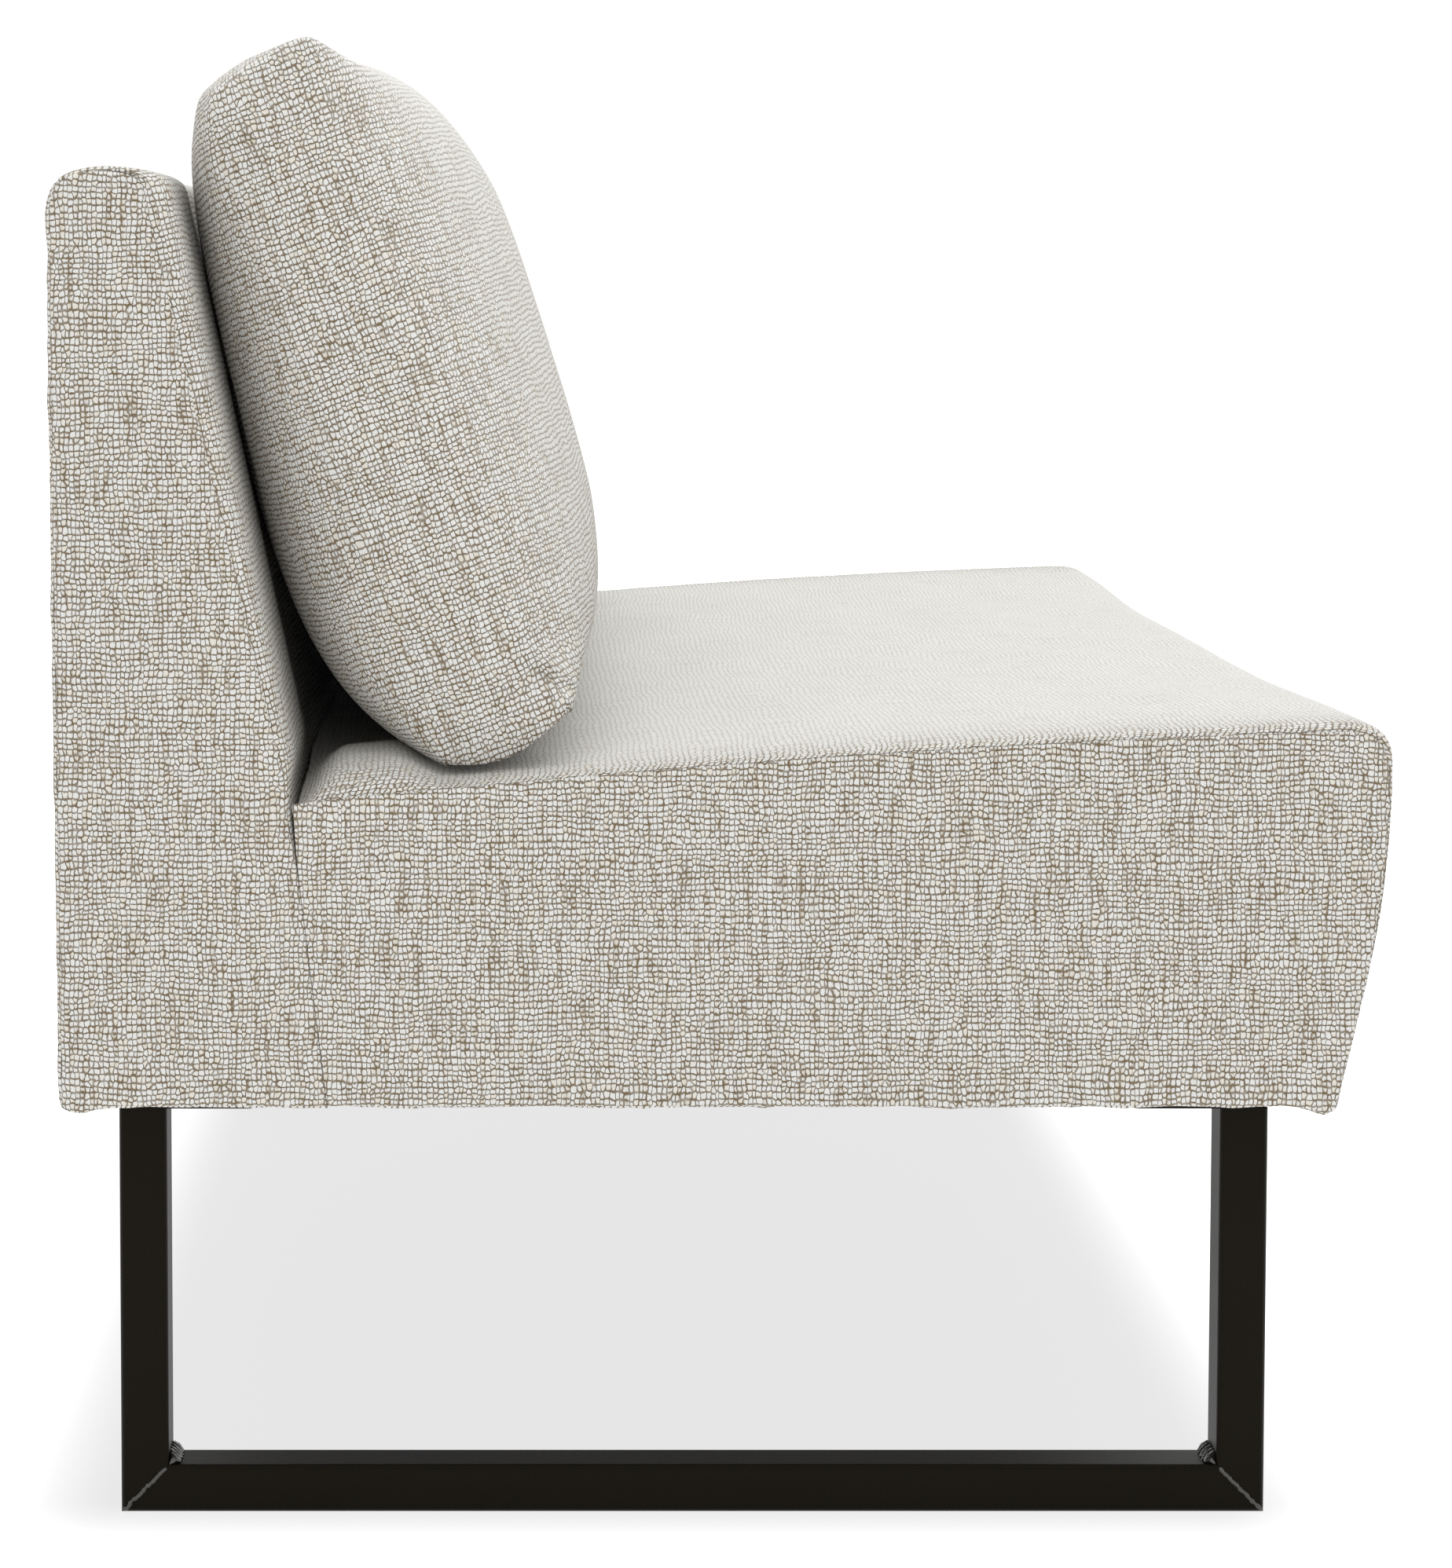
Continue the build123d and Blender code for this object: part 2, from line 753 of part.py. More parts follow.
# Loose cushion: it stands on the crowned seat and leans on the raked back
tilt = radians(cushion_tilt)
toward_front = (-cos(tilt), sin(tilt))
toward_top = (sin(tilt), cos(tilt))
_, seat_rear, seat_middle, seat_nose, *_ = seat_points(0, 0)
seat_arc, seat_arc_radius = circle_through(seat_rear, seat_middle, seat_nose)
back_arc_radius = (cushion_height**2 / 4 + cushion_back_crown**2) / (2 * cushion_back_crown)


def seat_top_at(y):
    """Height of the seat at mid length, at depth y."""
    return seat_arc[1] + (seat_arc_radius**2 - (y - seat_arc[0]) ** 2) ** 0.5


def gap_to_back(y):
    """How far the leaning cushion is from the back when its lower rear edge stands at depth y."""
    reach = back_arc_radius - cushion_back_crown
    centre_y = y + reach * toward_front[0] + cushion_height / 2 * toward_top[0]
    centre_z = seat_top_at(y) + rest_gap + reach * toward_front[1] + cushion_height / 2 * toward_top[1]
    from_back = (crease_y - centre_y) * cos(rake) + (centre_z - crease_height) * sin(rake)
    return from_back - back_arc_radius


cushion_foot_y = crease_y - cushion_back_crown
for _ in range(12):
    cushion_foot_y += (gap_to_back(cushion_foot_y) - rest_gap) / cos(rake)
cushion_foot_z = seat_top_at(cushion_foot_y) + rest_gap


def cushion_section(inset, x, half):
    """The cushion's closed outline across the bench at x: four arcs between its seams."""
    swell = (1 - (abs(x) / half) ** 4) ** 0.5
    side_t = cushion_boxing / 2 - inset
    low = inset
    high = cushion_height - inset
    front_t = side_t + cushion_edge_crown + (cushion_front_crown - cushion_edge_crown) * swell
    back_t = side_t + cushion_edge_crown + (cushion_back_crown - cushion_edge_crown) * swell
    crown = cushion_edge_crown + (cushion_top_crown - cushion_edge_crown) * swell
    sag = cushion_edge_crown + (cushion_bottom_sag - cushion_edge_crown) * swell
    origin = (
        x,
        cushion_foot_y + cushion_boxing / 2 * toward_front[0],
        cushion_foot_z + cushion_boxing / 2 * toward_front[1],
    )
    with BuildSketch(Plane(origin=origin, x_dir=(0, *toward_front), z_dir=(-1, 0, 0))) as section:
        with BuildLine():
            ThreePointArc((-side_t, low), (0, low - sag), (side_t, low))
            ThreePointArc((side_t, low), (front_t, cushion_height / 2), (side_t, high))
            ThreePointArc((side_t, high), (0, high + crown), (-side_t, high))
            ThreePointArc((-side_t, high), (-back_t, cushion_height / 2), (-side_t, low))
        make_face()
    return section.sketch


def cushion_body(inset):
    """The whole cushion, drawn in by inset."""
    half = cushion_length / 2 - inset
    with BuildPart() as body:
        stations = (0, 0.35, 0.6, 0.8, 0.93, 1)
        mirrored = [-f for f in reversed(stations[1:])]
        loft([cushion_section(inset, f * half, half) for f in (*mirrored, *stations)])
    return body.part


def seam_plane(t):
    """A plane along the cushion, t in front of its middle."""
    middle = cushion_boxing / 2 + t
    origin = (0, cushion_foot_y + middle * toward_front[0], cushion_foot_z + middle * toward_front[1])
    return Plane(origin=origin, x_dir=(1, 0, 0), z_dir=(0, *toward_front))


cushion_outer = cushion_body(0)
cushion_inner = cushion_body(cover_thickness)
front_seam = seam_plane(cushion_boxing / 2 - cushion_seam)
back_seam = seam_plane(cushion_seam - cushion_boxing / 2)

with BuildPart() as cushion_front_panel:
    add(cushion_outer)
    add(cushion_inner, mode=Mode.SUBTRACT)
    split(bisect_by=front_seam, keep=Keep.TOP)
save(cushion_front_panel, "cushion_front_panel")

with BuildPart() as cushion_back_panel:
    add(cushion_outer)
    add(cushion_inner, mode=Mode.SUBTRACT)
    split(bisect_by=back_seam, keep=Keep.BOTTOM)
save(cushion_back_panel, "cushion_back_panel")

with BuildPart() as cushion_boxing_band:
    add(cushion_outer)
    add(cushion_inner, mode=Mode.SUBTRACT)
    split(bisect_by=front_seam, keep=Keep.BOTTOM)
    split(bisect_by=back_seam, keep=Keep.TOP)
save(cushion_boxing_band, "cushion_boxing")

with BuildPart() as cushion_core:
    add(cushion_body(cover_thickness + soft_gap))
save(cushion_core, "cushion_core")
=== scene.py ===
"""Looks of the dining bench: woven covers, a stuffed back cushion and powder-coated sled legs.

Metres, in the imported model's frame: X runs along the bench, the front faces -Y and +Z is up.
"""

import json
import math

import bpy
import numpy as np
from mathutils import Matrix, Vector


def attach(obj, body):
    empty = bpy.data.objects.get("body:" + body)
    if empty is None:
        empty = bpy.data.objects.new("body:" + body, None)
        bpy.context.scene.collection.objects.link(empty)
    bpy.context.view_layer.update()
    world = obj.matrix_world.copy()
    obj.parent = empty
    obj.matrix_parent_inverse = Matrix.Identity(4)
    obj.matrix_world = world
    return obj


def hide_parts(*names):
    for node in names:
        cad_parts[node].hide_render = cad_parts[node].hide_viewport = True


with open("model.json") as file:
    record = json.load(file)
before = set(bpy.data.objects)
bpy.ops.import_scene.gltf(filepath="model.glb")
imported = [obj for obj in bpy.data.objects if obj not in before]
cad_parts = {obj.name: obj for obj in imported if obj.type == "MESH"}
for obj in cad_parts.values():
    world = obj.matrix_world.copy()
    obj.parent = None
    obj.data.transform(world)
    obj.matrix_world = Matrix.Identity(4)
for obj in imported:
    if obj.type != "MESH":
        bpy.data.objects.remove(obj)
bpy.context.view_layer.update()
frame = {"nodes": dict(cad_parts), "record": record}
MM = 0.001

# Camera: a little lower than the back's top, square on to the bench's left end
CAMERA_PLACE = (-2.552, 0.118, 0.783)
CAMERA_PITCH = 3.0
CAMERA_LENS = 74.9
CAMERA_SHIFT = (0.1253, -0.222)

camera = bpy.data.objects.new("end_view", bpy.data.cameras.new("end_view"))
bpy.context.scene.collection.objects.link(camera)
camera.location = CAMERA_PLACE
camera.rotation_euler = (math.radians(90 - CAMERA_PITCH), 0, math.radians(-90))
camera.data.lens = CAMERA_LENS
camera.data.shift_x, camera.data.shift_y = CAMERA_SHIFT
bpy.context.scene.camera = camera


# Materials
class Wire:
    """A socket in a material's nodes. Arithmetic on wires adds the Math nodes for it."""

    def __init__(self, tree, socket=None):
        self.tree = tree
        self.socket = socket

    def node(self, kind, settings=(), sockets=(), out=0):
        """Adds a node: its settings first, then the values or wires of its sockets."""
        made = self.tree.nodes.new("ShaderNode" + kind)
        for name, value in dict(settings).items():
            setattr(made, name, value)
        for name, value in dict(sockets).items():
            if isinstance(value, Wire):
                self.tree.links.new(value.socket, made.inputs[name])
            else:
                made.inputs[name].default_value = value
        return Wire(self.tree, made.outputs[out] if made.outputs else None)

    def out(self, name):
        """Another output of the node that this wire leaves."""
        return Wire(self.tree, self.socket.node.outputs[name])

    def math(self, operation, *values):
        return self.node("Math", {"operation": operation}, dict(enumerate(values)))

    def __add__(self, other):
        return self.math("ADD", self, other)

    __radd__ = __add__

    def __sub__(self, other):
        return self.math("SUBTRACT", self, other)

    def __rsub__(self, other):
        return self.math("SUBTRACT", other, self)

    def __mul__(self, other):
        return self.math("MULTIPLY", self, other)

    __rmul__ = __mul__

    def __truediv__(self, other):
        return self.math("DIVIDE", self, other)

    def __rtruediv__(self, other):
        return self.math("DIVIDE", other, self)

    def __pow__(self, other):
        return self.math("POWER", self, other)

    def __abs__(self):
        return self.math("ABSOLUTE", self)

    def smooth(self, low, high):
        """Rises smoothly from 0 at low to 1 at high."""
        return self.node(
            "MapRange",
            {"interpolation_type": "SMOOTHSTEP"},
            {"Value": self, "From Min": low, "From Max": high},
        )

    def mix(self, first, second):
        """The first colour where this is 0, the second where it is 1.

        A Mix node's colours are its sockets 6 and 7, and output 2."""
        return self.node(
            "Mix", {"data_type": "RGBA"}, {0: self, 6: opaque(first), 7: opaque(second)}, out=2
        )

    def place(self, x, y, z=0.0):
        return self.node("CombineXYZ", (), {0: x, 1: y, 2: z})

    def noise(self, at, scale=1.0, detail=2.0, rough=0.5):
        return self.node(
            "TexNoise", (), {"Vector": at, "Scale": scale, "Detail": detail, "Roughness": rough}
        )

    def bump(self, height, distance, strength=1.0):
        return self.node(
            "Bump", (), {"Height": height, "Distance": distance, "Strength": strength}
        )


def opaque(colour):
    return colour if isinstance(colour, Wire) else (*colour, 1.0)


def finish(name, build):
    """A material whose surface comes from build, which is given a wire to start from."""
    material = bpy.data.materials.new(name)
    material.use_nodes = True
    tree = material.node_tree
    tree.nodes.clear()
    surface = Wire(tree)
    shader = build(surface)
    surface.node("OutputMaterial", (), {"Surface": shader})
    return material


# The covers' weave. Sizes are in millimetres, across the rows' nubs and up from row to row.
WEAVE = "weave"
PAINTED_PALE = "painted_pale"
ROW_PITCH = 3.8
NUB_WIDTH = 2.95
NUB_SCATTER = 0.44
NUB_HEIGHT = 1.0
SLUB_SIZE = (3.2, 42.0)
DRIFT_SIZE, DRIFT = (55.0, 30.0), 2.2
SWAY_SIZE, SWAY = (26.0, 22.0), 1.4
CROWD_SIZE, CROWD = (4.6, 50.0), 1.1
JOLT_SIZE, JOLT = (2.3, 2.6), (0.36, 0.42)
PATCH_SIZE = (5.0, 4.2)
FIBRE_SIZE = (0.5, 0.8)
PALE_CLOSES = 0.82
PALE_FLATTENS = 0.95
YARN_PALE = (0.615, 0.618, 0.603)
YARN_CREAM = (0.6, 0.57, 0.5)
GAP_BROWN_AND_SHADE = (0.15, 0.108, 0.06)
YARN_SLUB = (0.40, 0.35, 0.275)


def woven_cover(start):
    """Chunky plain weave: pale, pebbled nubs in rows, brown with painted shade between them, slubs
    up the warp.
    """

    def parts(wire):
        return start.node("SeparateXYZ", (), {0: wire})

    cloth = parts(start.node("UVMap", {"uv_map": WEAVE}))
    across, up = cloth / MM, cloth.out("Y") / MM

    def over(size, layer, detail=1.0, rough=0.5):
        """Noise over the cloth, its features of a size across and up. Each layer differs."""
        at = start.place(across / size[0], up / size[1], layer)
        return start.noise(at, detail=detail, rough=rough)

    # Painted light: faces turned up and forward get less painted shade in the gaps, fewer cream
    # and slub nubs, and lower nubs
    closed = start.node("Attribute", {"attribute_name": PAINTED_PALE}, out="Fac")
    open_share = 1 - PALE_CLOSES * closed
    slub = over(SLUB_SIZE, 9.0, detail=2.0, rough=0.6).smooth(0.45, 0.8)

    # Where each nub sits: yarns sway and crowd, rows drift, and every nub is jolted a little
    jolt = parts(over(JOLT_SIZE, 6.0).out("Color"))
    sway, crowd, drift = over(SWAY_SIZE, 2.0), over(CROWD_SIZE, 3.0), over(DRIFT_SIZE, 4.0)
    weft = across / NUB_WIDTH + sway * SWAY + crowd * CROWD + jolt * JOLT[0]
    warp = up / ROW_PITCH + (drift - 0.5) * DRIFT + jolt.out("Y") * JOLT[1]
    nubs = {"Vector": start.place(weft, warp), "Scale": 1.0, "Randomness": NUB_SCATTER}
    flat = {"voronoi_dimensions": "2D"}
    pebble = start.node("TexVoronoi", flat, nubs)
    edge = start.node("TexVoronoi", {**flat, "feature": "DISTANCE_TO_EDGE"}, nubs)
    chance = parts(pebble.out("Color"))
    heart = parts(pebble.out("Position"))

    # The gap round a nub, brown ground and painted shade: wider by slubs, between rows and at the
    # nub's foot, where it paints the shadow under the nub, closed in patches
    foot = (heart.out("Y") - warp).smooth(0.0, 0.5)
    row_side = (abs(heart.out("Y") - warp) - abs(heart - weft)).smooth(-0.15, 0.15)
    thick = (0.06 + slub * 0.15 + chance * 0.07) * (0.78 + 0.36 * row_side) + foot * 0.085
    nub = (edge / thick).smooth(-0.25, 1.7) * (1.05 - pebble).smooth(0.0, 0.6)
    patch = over(PATCH_SIZE, 1.0).smooth(0.2, 0.65)
    gap = (1 - nub.smooth(0.22, 1.0)) * (0.64 + 0.36 * patch)

    # Pale and cream nubs, browner slubs, stray fibres, and in the gaps the brown ground with
    # painted shade
    fibre = over(FIBRE_SIZE, 2.0)
    pale = (chance.out("Y").smooth(0.5, 1.0) * 0.85 * open_share).mix(YARN_PALE, YARN_CREAM)
    toned = (slub * (0.15 + 0.6 * chance.out("Z")) * open_share).mix(pale, YARN_SLUB)
    worn = (fibre.smooth(0.35, 0.75) * 0.2).mix(toned, YARN_SLUB)
    colour = (gap * open_share).mix(worn, GAP_BROWN_AND_SHADE)
    height = (nub * (0.72 + chance * 0.28) + fibre * 0.06) * (1 - PALE_FLATTENS * closed**2)
    return start.node(
        "BsdfPrincipled",
        (),
        {
            "Base Color": colour,
            "Roughness": 0.82 + gap * 0.12,
            "Specular IOR Level": 0.2,
            "Sheen Weight": 0.08,
            "Sheen Roughness": 0.5,
            "Normal": start.bump(height, NUB_HEIGHT * MM, 0.8),
        },
    )


def object_place(start):
    """The surface's own place in metres, along X, Y and Z."""
    return start.node("TexCoord", (), (), out="Object")


# The other finishes lie in the pieces' own space, so a noise scale is features per metre
COAT_DARK = (0.0044, 0.0036, 0.0024)
COAT_LIGHT = (0.0092, 0.0076, 0.0054)
COAT_GLINT = (0.1, 0.09, 0.07)
WELD_DARK, WELD_LIGHT = (0.007, 0.006, 0.0045), (0.016, 0.014, 0.011)
ZINC_DARK, ZINC_LIGHT = (0.56, 0.57, 0.58), (0.7, 0.69, 0.66)
WOOD_PALE, WOOD_RING = (0.66, 0.48, 0.29), (0.42, 0.26, 0.13)
BOARD_DARK, BOARD_LIGHT = (0.36, 0.24, 0.14), (0.5, 0.36, 0.22)
FOAM_PALE, FOAM_DEEP = (0.86, 0.8, 0.6), (0.66, 0.57, 0.36)
FELT_PALE, FELT_DEEP = (0.52, 0.51, 0.5), (0.3, 0.29, 0.28)
STRAP_PALE, STRAP_DEEP = (0.16, 0.145, 0.125), (0.05, 0.045, 0.04)
DUST_PALE, DUST_DEEP = (0.03, 0.03, 0.031), (0.012, 0.012, 0.013)


def powder_coat(start):
    """Satin black-bronze powder coat with its fine orange peel."""
    place = object_place(start)
    peel = start.noise(place, scale=620.0, detail=2.0)
    speck = start.noise(place, scale=1500.0, detail=1.0)
    cloud = start.noise(place, scale=9.0, detail=3.0)
    tone = speck.smooth(0.45, 0.75) * 0.7 + cloud * 0.3
    return start.node(
        "BsdfPrincipled",
        (),
        {
            "Base Color": tone.mix(COAT_DARK, COAT_LIGHT),
            "Roughness": 0.36 + cloud * 0.1 + speck * 0.06,
            "Specular IOR Level": 0.5,
            "Specular Tint": (*COAT_GLINT, 1.0),
            "Normal": start.bump(peel, 0.00012, 0.7),
        },
    )


def coated_weld(start):
    """Weld metal under the coat: glossier, its colour clouded paler and darker."""
    place = object_place(start)
    cloud = start.noise(place, scale=260.0, detail=2.0)
    return start.node(
        "BsdfPrincipled",
        (),
        {
            "Base Color": cloud.mix(WELD_DARK, WELD_LIGHT),
            "Roughness": 0.12 + cloud * 0.14,
            "Specular IOR Level": 0.9,
            "Normal": start.bump(cloud, 0.00015, 0.5),
        },
    )


def zinc(start):
    """Clouded zinc plating with fine scratches."""
    place = object_place(start)
    cloud = start.noise(place, scale=180.0, detail=3.0)
    scratch = start.noise(place, scale=1400.0, detail=2.0)
    return start.node(
        "BsdfPrincipled",
        (),
        {
            "Base Color": cloud.mix(ZINC_DARK, ZINC_LIGHT),
            "Metallic": 1.0,
            "Roughness": 0.28 + cloud * 0.16,
            "Normal": start.bump(scratch, 0.00006, 0.5),
        },
    )


def soft_fill(pale, deep, cell, depth):
    """Foam, felt or wadding: open cells or matted fibre of the given size."""

    def build(start):
        place = object_place(start)
        cells = start.node(
            "TexVoronoi", {"feature": "F1"}, {"Vector": place, "Scale": 1 / cell}, out="Distance"
        )
        mottle = start.noise(place, scale=14.0, detail=3.0)
        return start.node(
            "BsdfPrincipled",
            (),
            {
                "Base Color": (cells * 0.6 + mottle * 0.4).mix(pale, deep),
                "Roughness": 0.9 + cells * 0.08,
                "Normal": start.bump(cells, depth, 0.8),
            },
        )

    return build


def frame_wood(start):
    """Sawn softwood, its grain along the bench."""
    flat = start.node("SeparateXYZ", (), {0: object_place(start)})
    y, z = flat.out("Y"), flat.out("Z")
    rings = start.noise(start.place(flat * 2.5, y * 60, z * 60), detail=4.0)
    line = abs(start.math("SINE", rings * 40))
    pore = start.noise(start.place(flat * 30, y * 900, z * 900), detail=2.0)
    return start.node(
        "BsdfPrincipled",
        (),
        {
            "Base Color": (line * 0.6 + pore * 0.4).mix(WOOD_PALE, WOOD_RING),
            "Roughness": 0.62 + pore * 0.2,
            "Normal": start.bump(pore, 0.0002, 0.6),
        },
    )


def fibreboard(start):
    """Pressed brown fibre."""
    place = object_place(start)
    chip = start.noise(place, scale=420.0, detail=3.0)
    cloud = start.noise(place, scale=16.0, detail=2.0)
    return start.node(
        "BsdfPrincipled",
        (),
        {
            "Base Color": (chip * 0.6 + cloud * 0.4).mix(BOARD_DARK, BOARD_LIGHT),
            "Roughness": 0.7 + chip * 0.2,
            "Normal": start.bump(chip, 0.00015, 0.5),
        },
    )


def strap_weave(pale, deep, pitch):
    """Close plain weave, in the flat of the strap or sheet."""

    def build(start):
        flat = start.node("SeparateXYZ", (), {0: object_place(start)})
        x, y, z = (flat.out(axis) * (math.tau / pitch) for axis in "XYZ")
        ribs = abs(start.math("SINE", x)) * abs(start.math("SINE", y + z))
        fuzz = start.noise(object_place(start), scale=700.0, detail=2.0)
        return start.node(
            "BsdfPrincipled",
            (),
            {
                "Base Color": (ribs * 0.7 + fuzz * 0.3).mix(deep, pale),
                "Roughness": 0.8 + fuzz * 0.15,
                "Normal": start.bump(ribs + fuzz * 0.4, 0.0003, 0.7),
            },
        )

    return build


cover_cloth = finish("woven_cover", woven_cover)
weld_metal = finish("coated_weld", coated_weld)
finishes = {
    "leg_tube": finish("powder_coat", powder_coat),
    "weld_bead": weld_metal,
    "mount_plate": finish("plate_coat", powder_coat),
    "zinc_fastener": finish("zinc", zinc),
    "woven_cover": cover_cloth,
    "foam": finish("foam", soft_fill(FOAM_PALE, FOAM_DEEP, cell=0.0016, depth=0.0006)),
    "felt": finish("felt", soft_fill(FELT_PALE, FELT_DEEP, cell=0.003, depth=0.0004)),
    "webbing": finish("webbing", strap_weave(STRAP_PALE, STRAP_DEEP, pitch=0.004)),
    "dust_cloth": finish("dust_cloth", strap_weave(DUST_PALE, DUST_DEEP, pitch=0.0022)),
    "fibreboard": finish("fibreboard", fibreboard),
    "frame_wood": finish("frame_wood", frame_wood),
}
for subpart in frame["record"]["subparts"]:
    node = frame["nodes"][subpart["node"]]
    node.data.materials.clear()
    node.data.materials.append(finishes[subpart["material_slot"]])


# Sewn pieces: blocks of cells, bent to the piece's outline and drawn in along its seams.
# The cells are finer by a seam and by a soft edge, at these millimetres from it.
SEAM_CELLS = (0.0, 1.0, 2.1, 3.4, 5.0, 7.2, 10.5, 15.0)
SOFT_CELLS = (0.0, 2.0, 4.5, 7.5, 11.0, 15.0, 20.0)


def spacing(length, step, edge=SEAM_CELLS):
    """Places from 0 to 1 along a side, about step apart and closer together at both ends."""
    fine = [f * MM for f in edge if f * MM < length / 3]
    count = max(2, round((length - 2 * fine[-1]) / step))
    middle = np.linspace(fine[-1], length - fine[-1], count + 1)
    return np.array([*fine[:-1], *middle, *[length - f for f in reversed(fine[:-1])]]) / length


class Block:
    """The six sides of a block of cells. A side is its axis and its end of that axis, 0 or 1."""

    def __init__(self, *places):
        self.places = places
        counts = [len(p) for p in places]
        number = -np.ones(counts, int)
        skin = np.zeros(counts, bool)
        for axis in range(3):
            for end in (0, -1):
                skin[tuple(end if k == axis else slice(None) for k in range(3))] = True
        number[skin] = np.arange(skin.sum())
        self.cells = np.argwhere(skin)
        self.params = np.stack([places[k][self.cells[:, k]] for k in range(3)], 1)
        self.quads, self.quad_sides = [], []
        for axis in range(3):
            for end in (0, 1):
                sheet = np.take(number, 0 if end == 0 else -1, axis)
                corners = [sheet[:-1, :-1], sheet[1:, :-1], sheet[1:, 1:], sheet[:-1, 1:]]
                if (axis == 1) == (end == 1):
                    corners.reverse()
                quads = np.stack([c.ravel() for c in corners], 1)
                self.quads.append(quads)
                self.quad_sides += [(axis, end)] * len(quads)
        self.quads = np.concatenate(self.quads)

    def on(self, side):
        return self.params[:, side[0]] == side[1]


def side_normals(shape, params, side):
    """Outward directions of the bent block's side at the given places."""
    nudge = 1e-3
    steps = []
    for axis in range(3):
        low, high = params.copy(), params.copy()
        low[:, axis] = np.clip(low[:, axis] - nudge, 0, 1)
        high[:, axis] = np.clip(high[:, axis] + nudge, 0, 1)
        steps.append(shape(high) - shape(low))
    first, second = [steps[k] for k in range(3) if k != side[0]]
    normal = np.cross(first, second)
    normal /= np.linalg.norm(normal, axis=1, keepdims=True) + 1e-12
    outward = steps[side[0]] * (1 if side[1] else -1)
    return normal * np.sign((normal * outward).sum(1, keepdims=True))


def waves(points, length, seed, count=10):
    """Smooth waviness about 1 high, with features of the given length."""
    draw = np.random.default_rng(seed)
    directions = draw.normal(size=(count, points.shape[1]))
    directions /= np.linalg.norm(directions, axis=1, keepdims=True)
    turns = math.tau / (length * draw.uniform(0.7, 1.5, count))
    phases = draw.uniform(0, math.tau, count)
    ripples = np.sin(points @ (directions * turns[:, None]).T + phases)
    return ripples.sum(1) * (2 / count) ** 0.5


# Seams, in metres: how far they pull, their groove, and the puckers and slack beside them
SEAM_REACH = 0.05
SEWN_ROLL = 0.005
GROOVE_WIDTH = 0.0032
LONG_PUCKER, SHORT_PUCKER, PUCKER_WIDTH = 0.024, 0.011, 0.012
PUCKER_START = 0.002
SLACK_LENGTH, SLACK_WIDTH = 0.07, 0.03


def draw_in(block, shape, points, seams, seed):
    """Rolls the block's edges over and sinks a puckered seam along those that are sewn.

    A seam is the roll's radius, the depth of its stitches and the height of its puckers."""
    moved = points.copy()
    eighth = math.pi / 4
    for (side, beside), (radius, sink, pucker) in seams.items():
        for here, there in ((side, beside), (beside, side)):
            chosen = block.on(here)
            if here == beside:
                chosen &= ~block.on(side)
            at = block.params[chosen]
            edge = at.copy()
            edge[:, there[0]] = there[1]
            edge_points = shape(edge)
            away = np.linalg.norm(points[chosen] - edge_points, axis=1)
            round_off = radius(edge_points) if callable(radius) else np.full(len(at), radius)
            reach = away < np.maximum(round_off, SEAM_REACH)
            at, edge, away, round_off = at[reach], edge[reach], away[reach], round_off[reach]
            rows = np.flatnonzero(chosen)[reach]
            along = edge_points[reach]
            turn = np.clip(1 - away / np.maximum(round_off, 1e-6), 0, 1) * eighth
            inward = round_off * (1 - np.cos(turn))
            sideways = np.where(turn > 0, round_off * (1 - np.sin(turn)) - away, 0)
            sewn = np.minimum(1, round_off / SEWN_ROLL)
            stitch = sink * np.exp(-((away / GROOVE_WIDTH) ** 2)) * sewn
            gather = waves(along, LONG_PUCKER, seed) * 0.65
            gather += waves(along, SHORT_PUCKER, seed + 1) * 0.35
            fade = np.exp(-away / PUCKER_WIDTH) * np.minimum(1, away / PUCKER_START)
            slack = waves(along, SLACK_LENGTH, seed + 2) * np.exp(-away / SLACK_WIDTH)
            inward = inward + stitch + pucker * sewn * (gather * fade + 0.5 * slack)
            sideways = sideways + stitch * (away < 1e-5)
            moved[rows] -= side_normals(shape, at, here) * inward[:, None]
            moved[rows] -= side_normals(shape, edge, there) * sideways[:, None]
            seed += 3
    return moved


def lay(block, points, side, start=0.0, level=0.0):
    """Cloth lengths over a side: along its first free axis from start, up its second, where
    level is the middle."""
    first, second = [k for k in range(3) if k != side[0]]
    rows = np.flatnonzero(block.on(side))
    grid = np.zeros((len(block.places[first]), len(block.places[second])), int)
    grid[tuple(block.cells[rows][:, [first, second]].T)] = rows
    laid = np.zeros((len(points), 2))
    for k, lines in enumerate((grid, grid.T)):
        runs = np.linalg.norm(np.diff(points[lines], axis=0), axis=2)
        length = np.concatenate([np.zeros((1, lines.shape[1])), np.cumsum(runs, axis=0)])
        if k == 1:
            length -= length[len(length) // 2]
        laid[lines, k] = length
    return laid + np.array([start, level])


# Which way the faces painted paler are turned, and over how far in from the ends the paleness
# fades in
PALE_FACING = np.array([0, -0.17, 0.84])
PALE_END_REACH = 24.0


